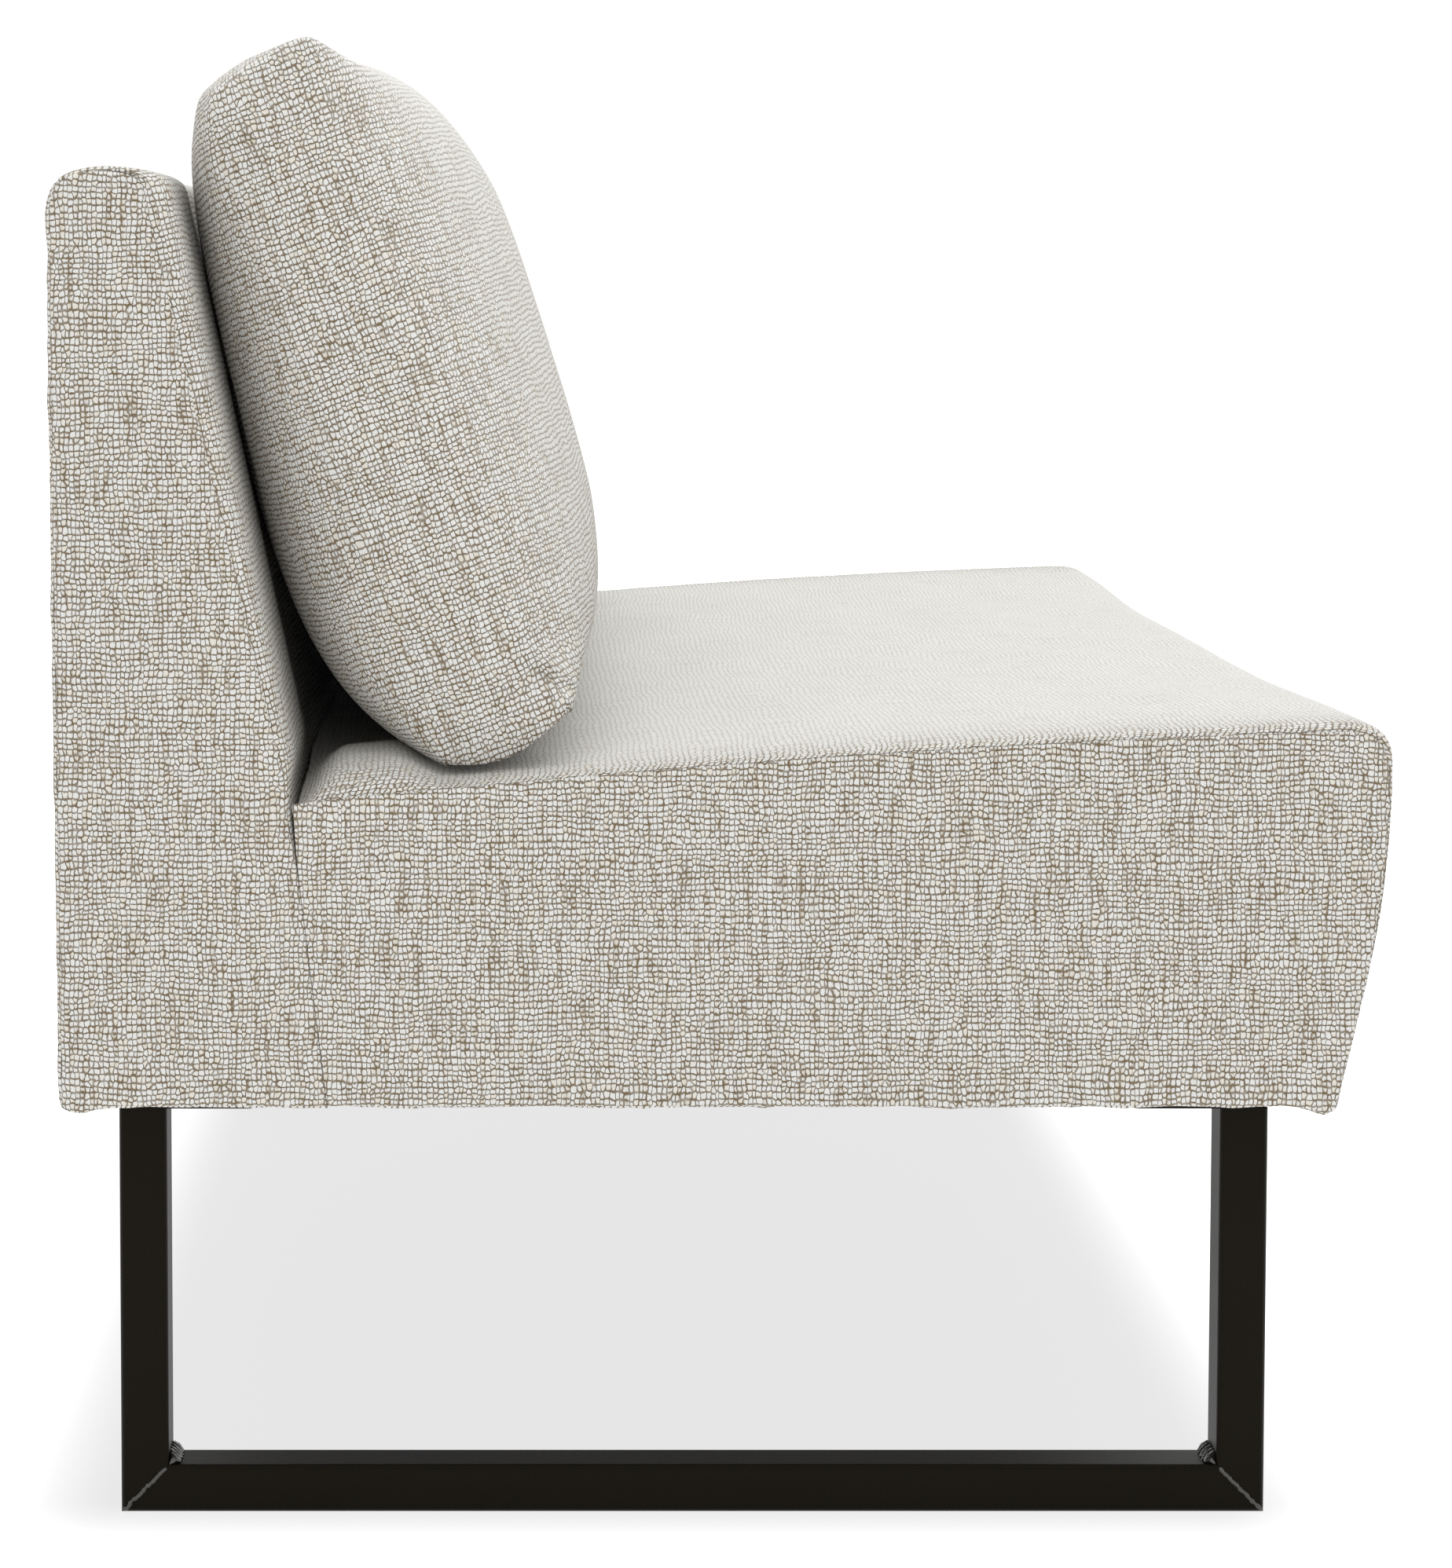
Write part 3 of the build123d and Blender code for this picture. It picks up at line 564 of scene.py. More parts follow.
def sew(name, block, points, cloth, body, fill, *nodes):
    """Makes the mesh of a sewn piece, lays the weave on it and stands it in for its CAD nodes.

    The tops and fronts are painted paler, with less painted shade in the weave's gaps, fading out
    towards the ends."""
    mesh = bpy.data.meshes.new(name)
    mesh.from_pydata(points.tolist(), [], block.quads.tolist())
    mesh.shade_smooth()
    layer = mesh.uv_layers.new(name=WEAVE)
    flat = np.zeros((len(block.quads), 4, 2))
    sides = np.array(block.quad_sides)
    for side, laid in cloth.items():
        chosen = (sides == side).all(1)
        flat[chosen] = laid[block.quads[chosen]]
    layer.data.foreach_set("uv", flat.ravel())
    normals = np.zeros(len(points) * 3)
    mesh.vertex_normals.foreach_get("vector", normals)
    past = np.abs(points[:, 0])
    painted_pale = np.clip(normals.reshape(-1, 3) @ PALE_FACING, 0, 1)
    painted_pale *= 1 - np.exp((past - past.max()) / (PALE_END_REACH * MM))
    mesh.attributes.new(PAINTED_PALE, "FLOAT", "POINT").data.foreach_set("value", painted_pale)
    mesh.materials.append(cover_cloth)
    piece = bpy.data.objects.new(name, mesh)
    bpy.context.scene.collection.objects.link(piece)
    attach(piece, body)
    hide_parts(*nodes)


def pair(y, z):
    """A point across the bench, given in millimetres."""
    return np.stack(np.broadcast_arrays(np.asarray(y, float), np.asarray(z, float)), -1) * MM


def bend(first, middle, last, t):
    """A curve through three points at t 0, 0.5 and 1."""
    t = t[:, None]
    turn = 2 * middle - (first + last) / 2
    return first * (1 - t) ** 2 + turn * 2 * t * (1 - t) + last * t**2


def straight(first, last, t):
    return first + (last - first) * t[:, None]


def in_turn(t, *pieces):
    """Joins curves end to end: each is the share of t where it ends and the curve itself."""
    made, start = None, 0.0
    for end, curve in pieces:
        part = curve(np.clip((t - start) / (end - start), 0, 1))
        made = part if made is None else np.where((t > start)[:, None], part, made)
        start = end
    return made


def fill_outline(b, c, front, rear, bottom, top):
    """Blends a section's four sides over its inside."""
    zero, one = np.zeros_like(b), np.ones_like(b)
    corners = (
        (1 - b)[:, None] * (1 - c)[:, None] * bottom(zero)
        + b[:, None] * (1 - c)[:, None] * bottom(one)
        + (1 - b)[:, None] * c[:, None] * top(zero)
        + b[:, None] * c[:, None] * top(one)
    )
    return (
        (1 - c)[:, None] * bottom(b)
        + c[:, None] * top(b)
        + (1 - b)[:, None] * front(c)
        + b[:, None] * rear(c)
        - corners
    )


# Sizes shared with the CAD model, in millimetres, and the sides of a block
HALF_LENGTH = 560.0
FRONT, REAR = -415.0, 415.0
UNDERSIDE = 262.0
CREASE = (266.0, 453.0)
CREASE_FOOT = 243.0
CREASE_GAP = 0.03
LEFT, RIGHT, NEAR_FRONT, NEAR_REAR, BELOW, ABOVE = (0, 0), (0, 1), (1, 0), (1, 1), (2, 0), (2, 1)
ENDS = (LEFT, RIGHT)

# Where the weave starts up the tops, in metres, so that it doesn't repeat the fronts
SEAT_TOP_CLOTH, BACK_TOP_CLOTH = 0.44, 0.2

# Edges that seat and back share: roll, stitch depth and pucker of their feet, in metres
END_FOOT = (0.005, 0.0, 0.0007)
LONG_FOOT = (0.006, 0.0, 0.0006)

# The roll of the back's padding, from nothing near the middle to full by the ends
EDGE_ROLL = 16.0
ROLL_ROUND = 18.0
ROLL_ALONG = (330.0, 460.0)


def ease(value, low, high):
    """Rises smoothly from 0 at low to 1 at high."""
    share = np.clip((value - low) / (high - low), 0, 1)
    return share**2 * (3 - 2 * share)


def end_round(x, radius):
    """Rises in a quarter round from 0 at the bench's ends to 1 a radius in."""
    inside = np.clip((HALF_LENGTH - np.abs(x)) / radius, 0, 1)
    return (inside * (2 - inside)) ** 0.5


def edge_roll(x):
    """How far the back's padding rolls forward beside its end seams, in millimetres."""
    return EDGE_ROLL * end_round(x, ROLL_ROUND) * ease(np.abs(x), *ROLL_ALONG)


# Seat cover. Places on its front are millimetres behind the front edge and above the floor.
NOSE_TOP, NOSE_TURN, NOSE_LOW = (27.0, 494.5), (7.0, 488.5), (0.0, 472.0)
FRONT_BOW = (8.0, 378.0)
FRONT_FOOT = 35.0
REAR_LEVEL, REAR_RISE = 452.0, 12.0
TOP_BULGE = 6.0
SHOULDER = 70.0
DRAWN_IN, HOLLOW, SITTING_DIP, RIGHT_FALL = 9.0, 3.5, 4.0, 2.5
LIP, LIP_ROUND = 4.5, 15.0
REAR_SWELL, REAR_SINK, REAR_FALL = 15.0, 8.0, 22.0
SWELL_ROUND = 30.0
SWELL_ALONG = (60.0, 230.0)
SWELL_ACROSS, FALL_ACROSS = (166.0, 208.0), (235.0, 266.0)
NOSE_SHARE_TOP = 0.06
NOSE_SHARE_FRONT = 0.1


def rear_swell(x, y):
    """How far the seat's padding stands up behind the cushion: full by the ends, falling to the
    crease, and sunk between the ends."""
    by_ends = 1 - ease(HALF_LENGTH - np.abs(x), *SWELL_ALONG)
    rise = end_round(x, SWELL_ROUND) * by_ends
    swell = REAR_SWELL * rise - REAR_SINK * (1 - by_ends)
    return swell * ease(y, *SWELL_ACROSS) - REAR_FALL * rise * ease(y, *FALL_ACROSS)


def seat_shape(params):
    """The seat: its front edge drawn in, dipped where two people sit and lower to the right."""
    a, b, c = params.T
    x = (2 * a - 1) * HALF_LENGTH
    along = np.abs(2 * a - 1)
    shoulder = 1 - SHOULDER / HALF_LENGTH
    swell = 1 - along**6
    hollow = np.maximum(0, 1 - (along / shoulder) ** 2) ** 2
    lip = end_round(x, LIP_ROUND)
    draw = DRAWN_IN * hollow + LIP * (1 - lip)
    dips = np.sin(math.pi * along) ** 2
    lift = LIP * lip - HOLLOW * hollow - SITTING_DIP * dips - RIGHT_FALL * (2 * a - 1)
    rear_foot = pair(CREASE_FOOT - CREASE_GAP, UNDERSIDE + 0 * a)
    rear_top = pair(CREASE[0] - CREASE_GAP - edge_roll(x) / 4, REAR_LEVEL + REAR_RISE * swell)
    nose_top, nose_turn, nose_low = (
        pair(FRONT + behind + draw, level + lift)
        for behind, level in (NOSE_TOP, NOSE_TURN, NOSE_LOW)
    )
    bow = pair(FRONT + FRONT_BOW[0] + draw / 2, FRONT_BOW[1])
    foot = pair(FRONT + FRONT_FOOT + 0 * a, UNDERSIDE)
    middle = (nose_top + rear_top) / 2 + pair(0, TOP_BULGE)

    def front(t):
        return in_turn(
            t,
            (1 - NOSE_SHARE_FRONT, lambda s: bend(foot, bow, nose_low, s)),
            (1, lambda s: bend(nose_low, nose_turn, nose_top, s / 2)),
        )

    def top(t):
        return in_turn(
            t,
            (NOSE_SHARE_TOP, lambda s: bend(nose_low, nose_turn, nose_top, 0.5 + s / 2)),
            (1, lambda s: bend(nose_top, middle, rear_top, s)),
        )

    section = fill_outline(
        b,
        c,
        front,
        lambda t: straight(rear_foot, rear_top, t),
        lambda t: straight(foot, rear_foot, t),
        top,
    )
    section[:, 1] += rear_swell(x, section[:, 0] / MM) * c**2 * MM
    return np.column_stack([x * MM, section])


CREASE_FLAT, CREASE_ROLL = 0.4, 5.6
CREASE_FROM, CREASE_RUN = 400.0, 50.0


def crease_round(points):
    """The end panels' roll where seat and back meet: full at the crease, flat at the foot."""
    share = np.clip((points[:, 2] / MM - CREASE_FROM) / CREASE_RUN, 0, 1)
    return (CREASE_FLAT + CREASE_ROLL * share**1.3) * MM


# A block is given by the length and the cell size, in metres, along the bench, across and up
seat_block = Block(spacing(1.12, 0.0095), spacing(0.68, 0.009), spacing(0.23, 0.0085))
seat_seams = {}
for end in ENDS:
    seat_seams[end, ABOVE] = (0.0016, 0.0012, 0.0005)
    seat_seams[end, NEAR_FRONT] = (0.0016, 0.0011, 0.0005)
    seat_seams[end, NEAR_REAR] = (crease_round, 0.0008, 0.0004)
    seat_seams[end, BELOW] = END_FOOT
seat_seams[NEAR_FRONT, BELOW] = LONG_FOOT

CORNER_X, CORNER_DROP = 556.0, 5.0
CORNER_LENGTH, CORNER_WIDTH, CORNER_HEIGHT = 16.8, 12.0, 30.0
FRONT_CORNER_IN, REAR_CORNER_IN = 40.0, 18.0


def hang_corners(points, y):
    """Lets the folded fabric corners at the foot hang a little, at one place across the bench."""
    for x in (-CORNER_X, CORNER_X):
        along, across = points[:, 0] / MM - x, points[:, 1] / MM - y
        away = np.hypot(along / CORNER_LENGTH, across / CORNER_WIDTH)
        low = np.clip(1 - (points[:, 2] / MM - UNDERSIDE) / CORNER_HEIGHT, 0, 1)
        points[:, 2] -= CORNER_DROP * MM * np.exp(-(away**2)) * low


SOFT_FADE = 12.0


def soften(block, shape, points, side, depth, length, seed):
    """Waves a side of a sewn piece in and out, less towards its edges."""
    rows = np.flatnonzero(block.on(side))
    at = block.params[rows]
    free = [k for k in range(3) if k != side[0]]
    fade = np.prod([np.minimum(1, SOFT_FADE * at[:, k] * (1 - at[:, k])) for k in free], axis=0)
    sink = depth * fade * (0.5 + 0.5 * waves(points[rows], length, seed))
    points[rows] -= side_normals(shape, at, side) * sink[:, None]


seat_points = draw_in(seat_block, seat_shape, seat_shape(seat_block.params), seat_seams, seed=11)
for number, side in enumerate((LEFT, RIGHT, NEAR_FRONT)):
    soften(seat_block, seat_shape, seat_points, side, depth=0.0022, length=0.16, seed=31 + number)
soften(seat_block, seat_shape, seat_points, ABOVE, depth=0.0012, length=0.12, seed=41)
hang_corners(seat_points, FRONT + FRONT_CORNER_IN)
seat_cloth = {side: seat_points[:, 1:] for side in ENDS}
seat_cloth[NEAR_FRONT] = lay(seat_block, seat_points, NEAR_FRONT)
seat_cloth[ABOVE] = lay(seat_block, seat_points, ABOVE, level=SEAT_TOP_CLOTH)
seat_cloth[NEAR_REAR] = seat_points[:, [0, 2]]
seat_cloth[BELOW] = seat_points[:, :2]

sew(
    "seat_upholstery",
    seat_block,
    seat_points,
    seat_cloth,
    "bench",
    0.9,
    "seat_cover",
    "left_seat_end_panel",
    "right_seat_end_panel",
    "seat_foam",
    "front_foam",
    "left_seat_end_pad",
    "right_seat_end_pad",
)

# Back cover. Places on it are millimetres in from the rear and down from the top.
BACK_TOP = 843.0
REAR_FOOT_IN = 4.5
REAR_TOP_IN, REAR_TOP_DOWN = 1.0, 26.0
CREST_IN = 33.0
FACE_IN, FACE_DOWN = 61.0, 14.0
BACK_FACE_TOP = (REAR - FACE_IN, BACK_TOP - FACE_DOWN)
EIGHTH_IN = 1 - 0.5**0.5

# Height of the roll's foot above the crease, and the roll's share there, halfway and on top
ROLL_FOOT = 24.0
ROLL_LOW, ROLL_BEND, ROLL_HIGH = 0.5, 0.45, 0.6

# Shares of the block's height and depth where one curve of the outline ends
CREASE_SHARE, ROLL_SHARE, FACE_SHARE, CREST_SHARE = 0.32, 0.36, 0.95, 0.4


def face_axes():
    """Directions up the back's front face and out of it, across the bench."""
    rise = pair(*BACK_FACE_TOP) - pair(*CREASE)
    rise /= np.linalg.norm(rise)
    return rise, np.array([-rise[1], rise[0]])


def back_shape(params):
    """The wedge-shaped back: rounded over its top, its front padding rolled out at both ends."""
    a, b, c = params.T
    x = (2 * a - 1) * HALF_LENGTH
    rise, ahead = face_axes()
    roll = (edge_roll(x) * MM)[:, None] * ahead
    foot = pair(REAR - REAR_FOOT_IN, UNDERSIDE)
    rear_top = pair(REAR - REAR_TOP_IN, BACK_TOP - REAR_TOP_DOWN)
    crest = pair(REAR - CREST_IN, BACK_TOP)
    front_top = pair(*BACK_FACE_TOP) + roll
    rear_turn = pair(REAR - EIGHTH_IN * CREST_IN, BACK_TOP - EIGHTH_IN * REAR_TOP_DOWN)
    turn_in = FACE_IN - EIGHTH_IN * (FACE_IN - CREST_IN)
    front_turn = pair(REAR - turn_in, BACK_TOP - EIGHTH_IN * FACE_DOWN) + roll * ROLL_HIGH
    crease = pair(*CREASE)
    crease_foot = pair(CREASE_FOOT, UNDERSIDE)
    roll_turn = crease + rise * ROLL_FOOT / 2 * MM + roll * ROLL_LOW * ROLL_BEND
    roll_low = crease + rise * ROLL_FOOT * MM + roll * ROLL_LOW

    def front(t):
        return in_turn(
            t,
            (CREASE_SHARE, lambda s: straight(crease_foot, crease, s)),
            (ROLL_SHARE, lambda s: bend(crease, roll_turn, roll_low, s)),
            (FACE_SHARE, lambda s: straight(roll_low, front_top, s)),
            (1, lambda s: bend(front_top, front_turn, crest, s / 2)),
        )

    def top(t):
        return in_turn(
            t,
            (CREST_SHARE, lambda s: bend(front_top, front_turn, crest, 0.5 + s / 2)),
            (1, lambda s: bend(crest, rear_turn, rear_top, s / 2)),
        )

    def rear(t):
        return in_turn(
            t,
            (FACE_SHARE, lambda s: straight(foot, rear_top, s)),
            (1, lambda s: bend(rear_top, rear_turn, crest, s / 2)),
        )

    section = fill_outline(b, c, front, rear, lambda t: straight(crease_foot, foot, t), top)
    return np.column_stack([x * MM, section])


FACE_ROUND = 0.0016


def face_round(points):
    """The roll of the back's front edges: the crease's own up to it, then tight."""
    above = points[:, 2] > CREASE[1] * MM
    return np.where(above, FACE_ROUND, crease_round(points))


back_block = Block(spacing(1.12, 0.0095), spacing(0.11, 0.007), spacing(0.6, 0.0085))
back_seams = {}
for end in ENDS:
    back_seams[end, ABOVE] = (0.007, 0.0012, 0.0005)
    back_seams[end, NEAR_REAR] = (0.008, 0.0012, 0.0006)
    back_seams[end, NEAR_FRONT] = (face_round, 0.0012, 0.0005)
    back_seams[end, BELOW] = END_FOOT
back_seams[NEAR_REAR, BELOW] = LONG_FOOT
back_points = draw_in(back_block, back_shape, back_shape(back_block.params), back_seams, seed=51)
for number, side in enumerate((LEFT, RIGHT, NEAR_REAR)):
    soften(back_block, back_shape, back_points, side, depth=0.002, length=0.18, seed=71 + number)
hang_corners(back_points, REAR - REAR_CORNER_IN)
back_cloth = {side: back_points[:, 1:] for side in ENDS}
for side in (NEAR_FRONT, NEAR_REAR):
    back_cloth[side] = lay(back_block, back_points, side)
for side in (ABOVE, BELOW):
    back_cloth[side] = back_points[:, :2] + np.array([0, BACK_TOP_CLOTH])

sew(
    "back_upholstery",
    back_block,
    back_points,
    back_cloth,
    "bench",
    0.9,
    "back_cover",
    "left_back_end_panel",
    "right_back_end_panel",
    "back_foam",
    "top_foam",
    "rear_wadding",
    "left_back_end_pad",
    "right_back_end_pad",
)

# Loose cushion. Its own section runs forward and up from the rear corner of its foot.
CUSHION_HALF = 535.0
CUSHION_HEIGHT = 447.0
BOXING_HALF = 37.5
TILT = math.radians(20.5)
CUSHION_FOOT = (169.95, 471.88)
FRONT_CROWN, BACK_CROWN = 69.0, 70.0
FRONT_FULL, BACK_FULL = (3.7, 0.52), (3, 0.65)
TOP_CROWN, TOP_END = 9.0, 3.0
BOTTOM_SAG, BOTTOM_END = 4.0, 12.0
END_PUFF = 12.0
FRONT_LEAN = 0.15
BACK_SLUMP, BACK_END_SLUMP = 0.32, 0.2
REST_GAP = 0.8
TO_FRONT = np.array([-math.cos(TILT), math.sin(TILT)])
TO_TOP = np.array([math.sin(TILT), math.cos(TILT)])


def cushion_shape(params):
    """The stuffed cushion: full between its seams, its filling slumped to the lower back."""
    a, b, c = params.T
    along = np.clip(np.abs(2 * a - 1), 0, 1)
    swell = (1 - along**6) ** 0.5
    lean = 0.7 * (1 - along**12) ** 0.5 + 0.3 * (1 - along**2)
    crown = TOP_END + (TOP_CROWN - TOP_END) * swell
    sag = BOTTOM_END + (BOTTOM_SAG - BOTTOM_END) * swell
    low_front, low_rear = pair(BOXING_HALF, 0), pair(-BOXING_HALF, 0)
    high_front, high_rear = pair(BOXING_HALF, CUSHION_HEIGHT), pair(-BOXING_HALF, CUSHION_HEIGHT)

    def front(t):
        up = 2 * t - 1
        full = (1 - np.abs(up) ** FRONT_FULL[0]) ** FRONT_FULL[1] * (1 + FRONT_LEAN * up)
        return pair(BOXING_HALF + FRONT_CROWN * swell * full, CUSHION_HEIGHT * t)

    def rear(t):
        up = 2 * t - 1
        slump = BACK_SLUMP + BACK_END_SLUMP * along**2
        full = (1 - np.abs(up) ** BACK_FULL[0]) ** BACK_FULL[1] * (1 - slump * up)
        return pair(-BOXING_HALF - BACK_CROWN * lean * full, CUSHION_HEIGHT * t)

    section = fill_outline(
        b,
        c,
        front,
        rear,
        lambda t: bend(low_front, pair(0, -sag), low_rear, t),
        lambda t: bend(high_front, pair(0, CUSHION_HEIGHT + crown), high_rear, t),
    )
    puff = END_PUFF * (1 - (2 * b - 1) ** 2) * (1 - (2 * c - 1) ** 4)
    x = (2 * a - 1) * CUSHION_HALF + np.sign(2 * a - 1) * puff * along**24
    middle = pair(*CUSHION_FOOT) + TO_FRONT * BOXING_HALF * MM
    across = middle + section[:, :1] * TO_FRONT + section[:, 1:] * TO_TOP
    return np.column_stack([x * MM, across])


LEVEL_STEPS = 60
SEAT_REACH = 520.0


def seat_level(points):
    """Height of the seat's top under the points, from lines across it at their places."""
    along = (points[:, :1] / (HALF_LENGTH * MM) + 1) / 2
    lines = np.stack(np.broadcast_arrays(along, np.linspace(0, 1, LEVEL_STEPS), 1.0), -1)
    tops = seat_shape(lines.reshape(-1, 3)).reshape(lines.shape)
    return np.array([np.interp(y, top[:, 1], top[:, 2]) for y, top in zip(points[:, 1], tops)])


def rest_on_bench(points):
    """Flattens the cushion where it leans on the back and sits on the seat."""
    ahead = face_axes()[1]
    kept = (edge_roll(points[:, 0] / MM) + REST_GAP) * MM
    room = (points[:, 1:] - pair(*CREASE)) @ ahead - kept
    points[:, 1:] -= np.minimum(room, 0)[:, None] * ahead
    low = np.flatnonzero(points[:, 2] < SEAT_REACH * MM)
    points[low, 2] = np.maximum(points[low, 2], seat_level(points[low]) + REST_GAP * MM)


# Each pull is a corner's place in the cushion's section, and how far it goes forward and up
CORNER_SPREAD = 32.0
CORNER_PULLS = (
    ((2 * BOXING_HALF, 0.0), (10.0, 4.0)),
    ((2 * BOXING_HALF, CUSHION_HEIGHT), (6.0, 8.0)),
    ((0.0, CUSHION_HEIGHT), (8.0, -4.0)),
)
EAR_FOLD = ((72.0, 31.0), (83.0, 10.0))
FOLD_DEPTH, FOLD_WIDTH, FOLD_REACH = 4.0, 4.5, 18.0


def pull_corners(points):
    """Pulls the cushion's end corners into soft ears, with a short fold by the lower front one."""
    local = (points[:, 1:] - pair(*CUSHION_FOOT)) @ np.column_stack([TO_FRONT, TO_TOP]) / MM
    inset = (CUSHION_HALF - np.abs(points[:, 0]) / MM).clip(0)
    for corner, (forward, upward) in CORNER_PULLS:
        away = np.linalg.norm(np.column_stack([local - corner, inset]), axis=1)
        pull = np.exp(-((away / CORNER_SPREAD) ** 2))[:, None]
        points[:, 1:] += pull * (TO_FRONT * forward + TO_TOP * upward) * MM
    start, end = np.array(EAR_FOLD)
    share = np.clip((local - start) @ (end - start) / ((end - start) @ (end - start)), 0, 1)
    beside = np.linalg.norm(local - start - share[:, None] * (end - start), axis=1)
    dent = np.exp(-((beside / FOLD_WIDTH) ** 2)) * (inset < FOLD_REACH) * FOLD_DEPTH * MM
    points[:, 0] -= np.sign(points[:, 0]) * dent


PRESSURE = 0.7
STUFF_FRAMES = 14
STUFF_CAP = 7.0


def stuffed(block, points):
    """Blows the cover out with a cloth simulation, so that it strains between its seams."""
    scene = bpy.context.scene
    mesh = bpy.data.meshes.new("stuffing")
    mesh.from_pydata(points.tolist(), [], block.quads.tolist())
    cover = bpy.data.objects.new("stuffing", mesh)
    scene.collection.objects.link(cover)
    cloth = cover.modifiers.new("stuffing", "CLOTH")
    cloth.settings.use_pressure = True
    cloth.settings.uniform_pressure_force = PRESSURE
    cloth.settings.effector_weights.gravity = 0
    cloth.collision_settings.use_collision = False
    cloth.point_cache.frame_end = STUFF_FRAMES
    for frame_number in range(1, STUFF_FRAMES + 1):
        scene.frame_set(frame_number)
    blown = cover.evaluated_get(bpy.context.evaluated_depsgraph_get()).data
    swollen = np.zeros(len(points) * 3)
    blown.vertices.foreach_get("co", swollen)
    bpy.data.objects.remove(cover)
    scene.frame_set(1)
    moved = swollen.reshape(-1, 3) - points
    length = np.linalg.norm(moved, axis=1, keepdims=True)
    return points + moved * np.minimum(1, STUFF_CAP * MM / np.maximum(length, 1e-9))


RELAX_REACH, RELAX_TIMES = 24.0, 22


def relax_top(block, points):
    """Evens the cover out over the ends' top edges, which have no seam.

    Points there drift towards the middle of their neighbours."""
    level = (points[:, 1:] - pair(*CUSHION_FOOT)) @ TO_TOP / MM
    away = np.hypot(CUSHION_HALF - np.abs(points[:, 0]) / MM, level - CUSHION_HEIGHT)
    share = np.exp(-((away / RELAX_REACH) ** 2))[:, None] / 2
    edges = block.quads[:, [[0, 1], [1, 2], [2, 3], [3, 0]]].reshape(-1, 2)
    edges = np.unique(np.sort(edges), axis=0)
    here, there = np.concatenate([edges, edges[:, ::-1]]).T
    total = len(points)
    count = np.bincount(here, minlength=total)
    for _ in range(RELAX_TIMES):
        middles = [np.bincount(here, points[there, k], total) / count for k in range(3)]
        points = points + (np.stack(middles, 1) - points) * share
    return points


cushion_block = Block(
    spacing(1.07, 0.008, SOFT_CELLS), spacing(0.075, 0.007), spacing(0.447, 0.0075, SOFT_CELLS)
)
cushion_seams = {}
for face in (NEAR_FRONT, NEAR_REAR):
    for edge in (BELOW, ABOVE):
        cushion_seams[face, edge] = (0.0025, 0.0006, 0.0006)
for end in ENDS:
    for edge in (ABOVE, BELOW):
        cushion_seams[end, edge] = (0.006, 0.0, 0.0005)
cushion_points = draw_in(
    cushion_block, cushion_shape, cushion_shape(cushion_block.params), cushion_seams, seed=91
)
pull_corners(cushion_points)
cushion_points = relax_top(cushion_block, stuffed(cushion_block, cushion_points))
rest_on_bench(cushion_points)

# Its cloth runs on from the left end over the top to the right one
cushion_axes = np.column_stack([TO_FRONT, TO_TOP])
cushion_across = (cushion_points[:, 1:] - pair(*CUSHION_FOOT)) @ cushion_axes
high, long = CUSHION_HEIGHT * MM, cushion_points[:, 0] + CUSHION_HALF * MM
cushion_cloth = {LEFT: cushion_across}
cushion_cloth[RIGHT] = cushion_across * (1, -1) + (0, 2 * (high + CUSHION_HALF * MM))
cushion_cloth[ABOVE] = np.column_stack([cushion_across[:, 0], high + long])
cushion_cloth[BELOW] = np.column_stack([cushion_across[:, 0], -long])
cushion_cloth[NEAR_FRONT] = lay(
    cushion_block, cushion_points, NEAR_FRONT, 2 * BOXING_HALF * MM, high / 2
)
cushion_cloth[NEAR_REAR] = lay(cushion_block, cushion_points, NEAR_REAR, 0.0, high / 2)
cushion_cloth[NEAR_REAR][:, 0] *= -1

sew(
    "cushion_cover",
    cushion_block,
    cushion_points,
    cushion_cloth,
    "cushion",
    0.75,
    "cushion_front_panel",
    "cushion_back_panel",
    "cushion_boxing",
    "cushion_core",
)

# Weld beads of the sleds, in millimetres. A sled end is its place across and its way inward.
SLED_X = 525.0
TUBE = 30.0
TUBE_ROUND = 3.0
SLED_ENDS = ((-343.5, 1), (374.5, -1))
WELD_HALF_WIDTH = 1.3
WELD_RISE, WELD_ROOT = 0.9, 0.5
FILLET, FILLET_RISE, FILLET_INSET = 7.5, 0.7, 1.0
RIPPLE = 1.9
BEAD_STEP, BEAD_POINTS = 0.35, 11

# How a bead strays, swells and changes pace as it is laid: over what length, and how much
BEAD_STRAY, BEAD_SWELL, BEAD_PACE = (9.0, 0.22), (4.0, 0.13), (6.0, 0.2)


